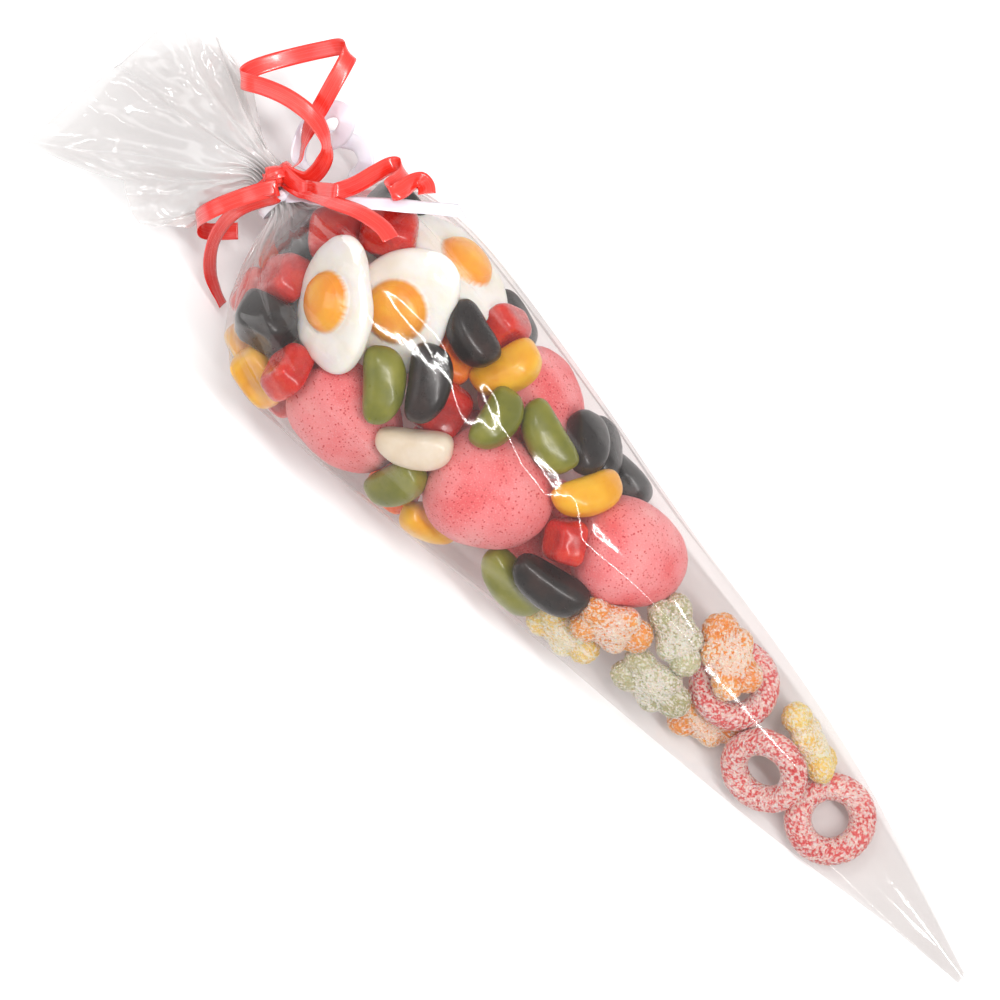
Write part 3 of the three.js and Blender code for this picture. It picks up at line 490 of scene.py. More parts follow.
def sugar_material(name, base, dark):
    mat, nt, b, out = material(name)
    v = coords(nt)
    big = tex_noise(nt, v, 0.12, 2.0, 0.5)
    col = ramp(nt, big, [(0.3, dark), (0.7, base)])
    at = nt.nodes.new("ShaderNodeAttribute")
    at.attribute_name = "grain"
    # crystals are pale and catch the light, the jelly shows between them
    g = maprange(nt, at.outputs["Fac"], 0.35, 0.95, 0.0, 0.62)
    col = mixrgb(nt, g, col, (1.0, 0.93, 0.86))
    vo = nt.nodes.new("ShaderNodeTexVoronoi")
    vo.inputs["Scale"].default_value = 1.7
    nt.links.new(v, vo.inputs["Vector"])
    sep = nt.nodes.new("ShaderNodeSeparateColor")
    nt.links.new(vo.outputs["Color"], sep.inputs[0])
    col = mixrgb(nt, maprange(nt, sep.outputs[0], 0.62, 0.95, 0.0, 0.55), col, (1.0, 0.95, 0.9))
    nt.links.new(col, b.inputs["Base Color"])
    nt.links.new(maprange(nt, sep.outputs[1], 0.0, 1.0, 0.15, 0.6), b.inputs["Roughness"])
    b.inputs["Subsurface Weight"].default_value = 0.55
    b.inputs["Subsurface Radius"].default_value = (3.0, 1.6, 1.0)
    b.inputs["Subsurface Scale"].default_value = 0.001
    b.inputs["Specular IOR Level"].default_value = 0.7
    bump(nt, b, vo.outputs["Distance"], 0.9, 0.0006)
    return mat


def ribbon_material(name, base, back, rough, sheen_white=0.0):
    mat, nt, b, out = material(name)
    tc = nt.nodes.new("ShaderNodeTexCoord")
    mp = nt.nodes.new("ShaderNodeMapping")
    mp.inputs["Scale"].default_value = (0.02, 26.0, 1.0)     # u along the ribbon, v across it
    nt.links.new(tc.outputs["UV"], mp.inputs[0])
    ribs = tex_noise(nt, mp.outputs[0], 1.0, 3.0, 0.6)
    v = coords(nt)
    cloud = tex_noise(nt, v, 0.09, 2.0, 0.5)
    col = ramp(nt, cloud, [(0.3, base), (0.75, back)])
    # painted sheen: the raised ribs are mixed a little toward pale pink, on the white ribbon as on the red
    col = mixrgb(nt, maprange(nt, ribs, 0.45, 0.75, 0.0, 0.06), col, (1.0, 0.7, 0.65))
    nt.links.new(col, b.inputs["Base Color"])
    nt.links.new(maprange(nt, ribs, 0.2, 0.8, rough - 0.05, rough + 0.08), b.inputs["Roughness"])
    b.inputs["Specular IOR Level"].default_value = 0.8
    b.inputs["Coat Weight"].default_value = 0.5
    b.inputs["Coat Roughness"].default_value = 0.12
    b.inputs["Anisotropic"].default_value = 0.4
    bump(nt, b, ribs, 0.25, 0.0001)
    return mat


MATS = {
    "black": candy("candy_black", (0.010, 0.005, 0.004), (0.006, 0.003, 0.003), (0.040, 0.014, 0.009), 0.32, 0.0, coat=0.18),
    "green": candy("candy_green", (0.20, 0.205, 0.010), (0.13, 0.145, 0.008), (0.30, 0.29, 0.03), 0.33, 0.35, (2, 2, 0.5)),
    "cream": candy("candy_cream", (0.80, 0.68, 0.52), (0.74, 0.60, 0.43), (0.88, 0.79, 0.66), 0.36, 0.5, (2, 1.7, 1.2)),
    "yellow": candy("candy_yellow", (0.88, 0.44, 0.006), (0.78, 0.33, 0.004), (0.94, 0.56, 0.03), 0.33, 0.45, (2.5, 1.6, 0.4)),
    "orange": candy("candy_orange", (0.88, 0.15, 0.008), (0.76, 0.09, 0.004), (0.95, 0.28, 0.02), 0.27, 0.8, (5, 1.6, 0.5)),
    "red": candy("candy_red", (0.62, 0.014, 0.006), (0.42, 0.006, 0.004), (0.80, 0.06, 0.012), 0.25, 0.75, (5, 0.9, 0.5)),
    "egg": egg_material(),
    "pink": foam_material(),
    "ring": sugar_material("sugared_red", (0.88, 0.16, 0.15), (0.72, 0.05, 0.05)),
    "sugar_orange": sugar_material("sugared_orange", (0.98, 0.42, 0.07), (0.90, 0.25, 0.02)),
    "sugar_yellow": sugar_material("sugared_yellow", (0.97, 0.72, 0.22), (0.90, 0.55, 0.08)),
    "sugar_green": sugar_material("sugared_green", (0.62, 0.60, 0.36), (0.45, 0.42, 0.20)),
}

# ------------------------------------------------------------------ sweets
LOBES = [((-1.2, 0, 0), (10.2, 7.3, 4.9)), ((8.2, 0, 0.2), (5.0, 5.6, 4.8)), ((2.4, 4.6, 0.4), (4.0, 3.9, 3.9)),
         ((2.4, -4.6, 0.4), (4.0, 3.9, 3.9)), ((-8.0, 3.7, 0.4), (5.0, 4.3, 4.3)), ((-8.0, -3.7, 0.4), (5.0, 4.3, 4.3))]


def supr(n, a, b, c, p):
    return (np.abs(n[:, 0] / a) ** p + np.abs(n[:, 1] / b) ** p + np.abs(n[:, 2] / c) ** p) ** (-1 / p)


def shape(kind, n, L, W, T, seed):
    """points of one sweet in its own frame, mm, with what its material needs"""
    a, b, c = L / 2, W / 2, T / 2
    extra = {}
    if kind == "bean":
        P = n * supr(n, a, b, c, 2.7)[:, None]
        f = 1 + 0.10 * P[:, 0] / a
        P[:, 1] = P[:, 1] * f + 0.32 * b * ((P[:, 0] / a) ** 2 - 0.33)
        P[:, 2] *= f
        P *= (1 - 0.035 * np.abs(noise3(P, 0.16, seed)))[:, None]
    elif kind == "gum":
        P = n * supr(n, a, b, c, 4.0)[:, None]
        f = 1 - 0.11 * P[:, 2] / c
        P[:, :2] *= f[:, None]
        # sunk top, as left by the mould
        top = np.clip(P[:, 2] / c, 0, 1) ** 3
        d = (P[:, 0] / a) ** 2 + (P[:, 1] / b) ** 2
        P[:, 2] -= 0.9 * top * np.exp(-(d / 0.42) ** 2)
        P *= (1 - 0.04 * np.abs(noise3(P, 0.2, seed)))[:, None]
    elif kind == "straw":
        cz = np.where(n[:, 2] > 0, c * 1.12, c * 0.88)
        p = 2.35
        r = (np.abs(n[:, 0] / a) ** p + np.abs(n[:, 1] / b) ** p + np.abs(n[:, 2] / cz) ** p) ** (-1 / p)
        P = n * r[:, None]
        t = np.clip((P[:, 0] / a + 1) / 2, 0, 1)
        g = 1.06 - 0.30 * t ** 1.6
        P[:, 1] *= g
        P[:, 2] *= g
        low = noise3(P, 0.075, seed, 2)
        P *= (1 - 0.030 * np.clip(low + 0.4, 0, 1.3))[:, None]
        fine = noise3(P, 0.9, seed + 9.1, 2)
        P *= (1 - 0.0075 * np.clip(fine + 0.3, 0, 1.2))[:, None]
        extra["edge"] = np.clip(0.55 - P[:, 2] / c * 0.8 + 0.5 * low, 0, 1) * 0.8 + 0.25 * np.clip(t - 0.55, 0, 1)
    elif kind == "egg":
        rho = np.hypot(n[:, 0] / a, n[:, 1] / b)
        r = (rho ** 3.2 + np.abs(n[:, 2] / c) ** 3.2) ** (-1 / 3.2)
        turn = np.arctan2(n[:, 1], n[:, 0])
        P = n * r[:, None]
        w = 1 + 0.045 * np.cos(3 * turn + 0.7) + 0.025 * np.cos(5 * turn + 2.0)
        P[:, 0] *= w
        P[:, 1] *= w
        d = np.hypot(P[:, 0] - 1, P[:, 1]) / (0.29 * W)
        up = P[:, 2] > 0
        dome = 0.155 * W * np.sqrt(np.clip(1 - d * d, 0, 1))
        P[:, 2] = np.where(up, P[:, 2] + dome, P[:, 2])
        # the white dips where the yolk sits on it, and waves a little
        ring = np.exp(-((d - 1.08) / 0.10) ** 2) * up
        P[:, 2] -= 0.35 * ring
        P[:, 2] -= np.sign(P[:, 2]) * 0.30 * np.abs(noise3(P, 0.13, seed))
        extra["yolk"] = np.where(up, np.clip(1.5 - d, 0, 1), 0)
    elif kind == "sour":
        k = np.array([L / 26.5, W / 17.2, T / 10.0])
        m_ = n / k
        m_ /= np.linalg.norm(m_, axis=1)[:, None]
        acc = np.zeros(len(n))
        for c0, R in LOBES:
            c0, R = np.array(c0, float), np.array(R, float)
            A = ((m_ / R) ** 2).sum(1)
            B = -2 * (m_ * c0 / R ** 2).sum(1)
            C = (c0 ** 2 / R ** 2).sum() - 1
            D = B * B - 4 * A * C
            t = np.where(D > 0, (-B + np.sqrt(np.maximum(D, 0))) / (2 * A), 0)
            acc += np.maximum(t, 0) ** 9
        P = m_ * (0.955 * acc ** (1 / 9))[:, None] * k
    return P, extra


def ring_grid(L, T, nu, nv):
    tr = 0.148 * L
    R = L / 2 - tr
    u = np.linspace(0, 2 * np.pi, nu, endpoint=False)[:, None]
    v = np.linspace(0, 2 * np.pi, nv, endpoint=False)[None, :]
    P = np.stack([(R + tr * np.cos(v)) * np.cos(u), (R + tr * np.cos(v)) * np.sin(u), T / 2 * np.sin(v) + 0 * u], -1)
    i, j = np.meshgrid(np.arange(nu), np.arange(nv), indexing="ij")
    q = lambda i, j: ((i % nu) * nv + j % nv).ravel()
    F = np.stack([q(i, j), q(i + 1, j), q(i + 1, j + 1), q(i, j + 1)], 1)
    return P.reshape(-1, 3), F


def normals(P, F):
    """vertex normals of a quad mesh"""
    n = np.cross(P[F[:, 2]] - P[F[:, 0]], P[F[:, 3]] - P[F[:, 1]])
    out = np.zeros_like(P)
    for k in range(4):
        np.add.at(out, F[:, k], n)
    return out / (np.linalg.norm(out, axis=1)[:, None] + 1e-12)


def sugar(P, F, seed, size=0.62, high=0.34):
    """sugar crystals: facetted grains over the whole skin"""
    rng = np.random.default_rng(seed)
    N = normals(P, F)
    area = np.linalg.norm(np.cross(P[F[:, 2]] - P[F[:, 0]], P[F[:, 3]] - P[F[:, 1]]), axis=1).sum() / 2
    count = int(area / (size * size) * 0.82)
    pick = rng.integers(0, len(P), count)
    C = P[pick] + rng.normal(0, 0.18, (count, 3))
    axes = rng.normal(0, 1, (count, 3, 3))
    axes = np.linalg.qr(axes)[0]
    rad = rng.uniform(0.7, 1.25, count) * size * 0.72
    kd = kdtree.KDTree(count)
    for i, c_ in enumerate(C):
        kd.insert(c_, i)
    kd.balance()
    h = np.zeros(len(P))
    for i, p in enumerate(P):
        best = 0.0
        for co, j, dist in kd.find_n(Vector(p), 3):
            d = axes[j] @ (p - C[j])
            cube = max(abs(d[0]), abs(d[1]), abs(d[2])) / rad[j]
            best = max(best, 1 - cube)
        h[i] = best
    h = np.clip(h * 2.2, 0, 1)
    return P + N * ((h - 0.62) * high)[:, None], h


GRIDN = {"bean": 20, "gum": 20, "straw": 38, "egg": 46, "sour": 44}
sweets = []
for k, (name, kind, colour, L, W, T, x, y, z, qw, qx, qy, qz) in enumerate(SWEETS):
    seed = 3.7 * k + 1.3
    if kind == "ring":
        P, F = ring_grid(L, T, 150, 60)
        extra = {}
        P, g = sugar(P, F, k)
        extra["grain"] = g
    else:
        D, F = ball(GRIDN[kind])
        P, extra = shape(kind, D, L, W, T, seed)
        if kind == "sour":
            P, g = sugar(P, F, k)
            extra["grain"] = g
    R = rot((qw, qx, qy, qz))
    o = new_piece("look_" + name, to_m(P @ R.T + np.array([x, y, z])), F)
    for key, val in extra.items():
        point_attr(o, key, val)
    o.data.materials.append(MATS[colour])
    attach(o, "root")
    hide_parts(name)
    sweets.append(o)
print("sweets made", round(time.time() - T0, 1), "s")


# ------------------------------------------------------------------ ribbons
def catmull(P, per):
    P = np.asarray(P, float)
    Q = np.vstack([2 * P[0] - P[1], P, 2 * P[-1] - P[-2]])
    out = []
    for i in range(1, len(Q) - 2):
        for t in np.linspace(0, 1, per, endpoint=False):
            a, b, c, d = Q[i - 1], Q[i], Q[i + 1], Q[i + 2]
            out.append(0.5 * (2 * b + (c - a) * t + (2 * a - 5 * b + 4 * c - d) * t * t + (3 * b - a - 3 * c + d) * t ** 3))
    out.append(P[-1])
    return np.array(out)


def strip(route, width=5.0, thick=0.12, step=0.6, cup=0.10, ends=(1.0, 1.0), seed=0):
    """a closed thin strip along a route of centre points and width directions: verts, quads, uv"""
    C = catmull(route, 24)
    L = np.r_[0, np.cumsum(np.linalg.norm(np.diff(C[:, :3], axis=0), axis=1))]
    n = max(8, int(L[-1] / step))
    s = np.linspace(0, L[-1], n + 1)
    C = np.stack([np.interp(s, L, C[:, k]) for k in range(6)], 1)
    p = C[:, :3]
    t = np.gradient(p, axis=0)
    t /= np.linalg.norm(t, axis=1)[:, None]
    w = C[:, 3:]
    w = w - t * (w * t).sum(1)[:, None]
    w /= np.linalg.norm(w, axis=1)[:, None]
    nrm = np.cross(t, w)
    m_ = 6
    half = np.full(n + 1, width / 2)
    u = s / L[-1]
    half *= np.interp(u, [0, 0.06, 0.94, 1], [ends[0], 1, 1, ends[1]])
    V = []
    for side in (1, -1):
        for k in range(m_ + 1):
            e = -1 + 2 * k / m_
            e = e * side
            V.append(p + w * (e * half)[:, None] + nrm * (side * thick / 2 + cup * (1 - e * e) * 1.0)[..., None]
                     if False else p + w * (e * half)[:, None] + nrm * (side * thick / 2 + cup * (1 - e * e)))
    V = np.stack(V, 1)                      # (n+1, 2(m+1), 3)
    R_ = V.shape[1]
    i, j = np.meshgrid(np.arange(n), np.arange(R_), indexing="ij")
    q = lambda i, j: (i * R_ + j % R_).ravel()
    F = np.stack([q(i, j), q(i, j + 1), q(i + 1, j + 1), q(i + 1, j)], 1)
    caps = []
    for end, base in ((0, 0), (1, n * R_)):
        for k in range(m_):
            a_, b_, c_, d_ = base + k, base + k + 1, base + R_ - 2 - k, base + R_ - 1 - k
            caps.append((a_, d_, c_, b_) if end == 0 else (a_, b_, c_, d_))
    F = np.vstack([F, np.array(caps)])
    uv = np.zeros((V.shape[0], R_, 2))
    uv[..., 0] = s[:, None]
    uv[..., 1] = np.r_[np.linspace(0, 1, m_ + 1), np.linspace(1, 0, m_ + 1)][None, :]
    return V.reshape(-1, 3), F[:, ::-1], uv.reshape(-1, 2)      # faces turned outward


def ribbon_piece(name, parts, mat, node):
    V, F, UV, base = [], [], [], 0
    for v, f, uv in parts:
        V.append(v)
        F.append(f + base)
        UV.append(uv)
        base += len(v)
    V, F, UV = np.concatenate(V), np.concatenate(F), np.concatenate(UV)
    o = new_piece(name, to_m(V), F)
    layer = o.data.uv_layers.new(name="UVMap")
    idx = np.empty(len(o.data.loops), np.int32)
    o.data.loops.foreach_get("vertex_index", idx)
    layer.data.foreach_set("uv", UV[idx].astype(np.float32).ravel())
    o.data.materials.append(mat)
    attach(o, "root")
    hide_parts(node)
    return o


def loop_band(centre, x0, x1, r, seed, squeeze=0.12, turns=1):
    """a band round the gathered neck"""
    a = np.linspace(0, 2 * np.pi, 25)
    rr = r + 0.12 * np.sin(3 * a + seed)
    xm = (x0 + x1) / 2
    return [[xm + 0.3 * np.sin(a_ + seed), centre[0] + q * np.cos(a_), centre[1] + q * np.sin(a_), 1, 0, 0] for a_, q in zip(a, rr)]


def wrap(c, axis, r, up=(0, 0, 1), turns=1.15, seed=0.0, rise=0.5):
    """the wound part of a knot: a band turned round an axis through c"""
    axis = np.array(axis, float)
    axis /= np.linalg.norm(axis)
    e1 = np.array(up, float) - axis * np.dot(up, axis)
    e1 /= np.linalg.norm(e1)
    e2 = np.cross(axis, e1)
    a = np.linspace(0, 2 * np.pi * turns, 22)
    rows = []
    for k, a_ in enumerate(a):
        q = np.array(c) + (e1 * np.cos(a_ + seed) * r[0] + e2 * np.sin(a_ + seed) * r[1]) + axis * rise * (k / len(a) - 0.5)
        rows.append([*q, *axis])
    return rows


red_mat = ribbon_material("ribbon_red", (0.80, 0.012, 0.007), (0.88, 0.035, 0.016), 0.24)
white_mat = ribbon_material("ribbon_white", (0.80, 0.78, 0.90), (0.90, 0.89, 0.93), 0.22)
NC = (-1.4, 26.4)
red_parts = [strip(r, seed=i) for i, r in enumerate(RED.values())]
red_parts.append(strip(loop_band(NC, -315.4, -311.4, 8.1, 0.3), width=4.2, thick=0.14, cup=0.25))
red_parts.append(strip(wrap((-313.3, 0.6, 36.6), (0.55, 0.8, 0.0), (2.3, 2.9)), width=4.6, thick=0.14, cup=0.25))
red_parts.append(strip(wrap((-313.0, 1.4, 36.8), (0.9, -0.3, 0.1), (2.5, 3.6), seed=1.2), width=3.4, thick=0.14, cup=0.25))
white_parts = [strip(r, seed=i) for i, r in enumerate(WHITE.values())]
white_parts.append(strip(loop_band(NC, -309.2, -306.9, 8.1, 1.7), width=2.6, thick=0.14, cup=0.2))
white_parts.append(strip(wrap((-307.6, -0.4, 35.4), (0.3, 1.0, 0.0), (1.2, 1.5)), width=4.0, thick=0.14, cup=0.15))
ribbon_piece("look_ribbon_red", red_parts, red_mat, "ribbon_red")
ribbon_piece("look_ribbon_white", white_parts, white_mat, "ribbon_white")

# ------------------------------------------------------------------ film
# One sheet, welded to a cone: ROWS rings of COLS points. A ring at distance l from the tip along the film is l long.
# It starts as folds of about the right depth, then the film's own lengths pull it into shape round the sweets.
T1 = time.time()
ROWS, COLS = 300, 304
NECK = np.array([-1.4, 26.4])
L_OF_X = np.array([[0, 0], [285, 284], [292, 291.2], [300, 296.4], [310, 300.6], [317, 303.8], [323, 306.4], [333, 315.8]])
FAN = np.array([[-80, 27], [-75, 31], [-68, 38.3], [-61.7, 40.4], [-55.4, 40.8], [-49.5, 41.5], [-46.5, 52], [-43.9, 60],
                [-40.3, 73.0], [-32.4, 66.5], [-21.9, 60.6], [-11.5, 58.4], [-5.7, 56.5], [4.8, 52.4], [15.9, 49.5],
                [20, 47.5], [24, 42], [27, 36], [31, 27]])


def sweets_field():
    """signed distance from the sweets on a grid, mm, with the grid's corner and step"""
    V, F, base = [], [], 0
    for name, kind, colour, L, W, T, x, y, z, qw, qx, qy, qz in SWEETS:
        if kind == "ring":
            P, Q = ring_grid(L, T, 28, 14)
        else:
            D, Q = ball(9)
            P, _ = shape(kind, D, L, W, T, 1.0)
        V.append(P @ rot((qw, qx, qy, qz)).T + np.array([x, y, z]))
        F.append(Q + base)
        base += len(P)
    V, F = np.concatenate(V), np.concatenate(F)
    from mathutils.bvhtree import BVHTree
    tree = BVHTree.FromPolygons(V.tolist(), F.tolist())
    h = 2.0
    lo = np.array([-312.0, -56.0, -3.0])
    n = (np.array([318.0, 112.0, 76.0]) / h).astype(int)
    g = np.stack(np.meshgrid(*[lo[k] + h * np.arange(n[k]) for k in range(3)], indexing="ij"), -1).reshape(-1, 3)
    out = np.full(len(g), 9.0)
    find = tree.find_nearest
    for i, p in enumerate(g.tolist()):
        q = find(p, 9.0)
        if q[0] is not None:
            d = q[3]
            a, b_ = q[0], q[1]
            if (p[0] - a[0]) * b_[0] + (p[1] - a[1]) * b_[1] + (p[2] - a[2]) * b_[2] < 0:
                d = -d
            out[i] = d
    return out.reshape(n), lo, h


def sample(grid, lo, h, P):
    """distance and gradient at points"""
    q = (P - lo) / h
    i = np.clip(np.floor(q).astype(int), 0, np.array(grid.shape) - 2)
    f = np.clip(q - i, 0, 1)
    c = {}
    for a in (0, 1):
        for b_ in (0, 1):
            for d in (0, 1):
                c[a, b_, d] = grid[i[:, 0] + a, i[:, 1] + b_, i[:, 2] + d]
    fx, fy, fz = f[:, 0], f[:, 1], f[:, 2]
    x00 = c[0, 0, 0] * (1 - fx) + c[1, 0, 0] * fx
    x10 = c[0, 1, 0] * (1 - fx) + c[1, 1, 0] * fx
    x01 = c[0, 0, 1] * (1 - fx) + c[1, 0, 1] * fx
    x11 = c[0, 1, 1] * (1 - fx) + c[1, 1, 1] * fx
    y0 = x00 * (1 - fy) + x10 * fy
    y1 = x01 * (1 - fy) + x11 * fy
    gz = (y1 - y0) / h
    gy = ((x10 - x00) * (1 - fz) + (x11 - x01) * fz) / h
    dx = [c[1, b_, d] - c[0, b_, d] for b_, d in ((0, 0), (1, 0), (0, 1), (1, 1))]
    gx = ((dx[0] * (1 - fy) + dx[1] * fy) * (1 - fz) + (dx[2] * (1 - fy) + dx[3] * fy) * fz) / h
    return y0 * (1 - fz) + y1 * fz, np.stack([gx, gy, gz], -1)


def smooth01(x, a, b_):
    t = np.clip((x - a) / (b_ - a), 0, 1)
    return t * t * (3 - 2 * t)


def start_film():
    rng = np.random.default_rng(11)
    l = np.concatenate([np.linspace(1.5, 285, 196, endpoint=False), np.linspace(285, 323, 42, endpoint=False),
                        np.linspace(323, 333, 10, endpoint=False), np.linspace(333, 402, 52)])
    assert len(l) == ROWS
    phi = 2 * np.pi * np.arange(COLS) / COLS
    c, s_ = np.cos(phi), np.sin(phi)
    x = np.interp(l, L_OF_X[:, 0], L_OF_X[:, 1])
    st = STATIONS
    yc, zc, A, B = [np.interp(x, st[:, 0], st[:, k]) for k in (1, 2, 3, 4)]
    A, B = A - 0.5, B - 0.6
    P = np.zeros((ROWS, COLS, 3))
    # how deep the folds are, from the film's length round against the length of the bare section
    per = np.pi * (3 * (A + B) - np.sqrt((3 * A + B) * (A + 3 * B)))
    ring = np.maximum(l, per * 0.985)
    # round the shoulder and in the flare the film lies in overlapping folds, so one layer of it is shorter round
    ring = np.where(l < 316, np.minimum(ring, per * (1.085 + 0.05 * smooth01(l, 290, 316))), ring)
    ring = np.where(l > 333, np.interp(l, [333, 341, 350, 370, 395, 402], [322, 250, 235, 250, 305, 320]), ring)
    ring = np.where((l >= 308) & (l < 323), np.interp(l, [308, 323], [np.interp(308, l, per) * 1.13, 322]), ring)
    N = {"a": 38, "b": 19, "c": 11, "d": 8}
    warp = 0.10 * np.sin(phi * 2 + 0.6) + 0.07 * np.sin(phi * 3 + 2.2)
    away = np.where(l < 323, 323 - l, np.maximum(l - 333, 0))
    ga = 1 - smooth01(away, 3, 14)
    gb = smooth01(away, 3, 14) * (1 - smooth01(away, 18, 34))
    gc = smooth01(away, 18, 34) * np.where(l < 323, 1 - smooth01(away, 45, 80), 1)
    gd = smooth01(away, 45, 80) * (l < 323)
    amp_jit = rng.uniform(0.75, 1.25, 38)
    pa = np.cos(38 * phi) * np.interp(phi, np.arange(38) * 2 * np.pi / 38, amp_jit)
    pb = np.cos(19 * phi + 0.4 + 5 * warp)
    pc = np.cos(11 * phi[None, :] + 7 * warp[None, :] + 0.010 * l[:, None])
    pd = 0.6 * np.cos(8 * phi[None, :] + 6 * warp[None, :] + 0.014 * l[:, None]) \
        + 0.4 * np.cos(13 * phi[None, :] - 0.021 * l[:, None] + 1.0)

    def depth(n, p, r):
        return np.sqrt(np.maximum((r / n) ** 2 - (p / n) ** 2, 0)) / 4 * 1.15

    wave = (depth(38, per, ring) * ga)[:, None] * pa + (depth(19, per, ring) * gb)[:, None] * pb \
        + (depth(11, per, ring) * gc)[:, None] * pc + (depth(9, per, ring) * gd)[:, None] * pd
    nx, nz = c[None, :] / A[:, None], s_[None, :] / B[:, None]
    ln = np.hypot(nx, nz)
    P[..., 0] = -x[:, None]
    P[..., 1] = yc[:, None] + A[:, None] * c + wave * nx / ln
    P[..., 2] = zc[:, None] + B[:, None] * s_ + wave * nz / ln
    # neck: pleats packed between two radii
    k = (l >= 320) & (l <= 336)
    rr = 4.4 + 2.1 * pa
    P[k, :, 1] = NECK[0] + rr * c
    P[k, :, 2] = NECK[1] + rr * s_
    # flare: a fan of folds beyond the neck
    e = np.array([-315.8, -1.4])
    u = (c + 1) / 2
    bend = -77 + (28.5 + 77) * (0.5 - 0.5 * np.cos(np.pi * u) * 0.55 - 0.45 * (1 - 2 * u) * 0.5 - 0.0)
    ang = -78 + 106.5 * u
    ang = ang + 2.2 * np.sin(9 * phi + 1.0) + 1.5 * np.sin(14 * phi)
    R = np.interp(ang, FAN[:, 0], FAN[:, 1]) * np.where(s_ < 0, 0.93, 1.0)
    R = R * (1 + 0.02 * np.sin(5 * phi + 2) + 0.01 * np.sin(13 * phi))
    a_ = np.radians(ang)
    f = l >= 333
    t = ((l[f] - 333) / (l[-1] - 333))[:, None]
    zmid = NECK[1] + (12.5 - NECK[1]) * smooth01(t, 0.0, 0.75)
    open_ = 6.0 + 2.5 * np.sin(np.pi * np.minimum(t * 0.75, 1))
    grid = np.stack(np.broadcast_arrays(c[None, :] * 2.1 + 0 * t, s_[None, :] * 2.1 + 0 * t, t * 0.75), -1).reshape(-1, 3)
    n1 = noise3(grid, 1.0, 3.3).reshape(len(t), COLS)
    n2 = noise3(grid, 2.3, 8.1).reshape(len(t), COLS)
    n3 = noise3(grid * np.array([1, 1, 2.2]), 4.1, 1.7).reshape(len(t), COLS)
    crumple = 10.0 * (0.32 - np.abs(n1)) + 6.5 * (0.25 - np.abs(n2)) + 1.8 * (0.25 - np.abs(n3))
    fold = crumple * smooth01(t, 0.02, 0.75) + 2.2 * t * np.cos(6 * phi + 0.5 + 1.5 * np.sin(phi)) * np.abs(s_) \
        + 1.3 * np.exp(-((t - 0.16) / 0.16) ** 2) * np.cos(23 * phi + 4 * warp)
    X = e[0] - np.cos(a_) * R * t
    Y = e[1] + np.sin(a_) * R * t
    Z = zmid + open_ * s_ + fold
    w = smooth01(t, 0.0, 0.22)
    P[f, :, 0] = X
    P[f, :, 1] = (NECK[0] + rr * c) * (1 - w) + (Y + (1 - t) ** 3 * 6 * c) * w
    P[f, :, 2] = (NECK[1] + rr * s_) * (1 - w) + Z * w
    P[..., 2] = np.maximum(P[..., 2], 0.3)
    pinned = np.zeros((ROWS, COLS), bool)
    pinned[l >= 323.5] = True
    return P, l, ring, pinned


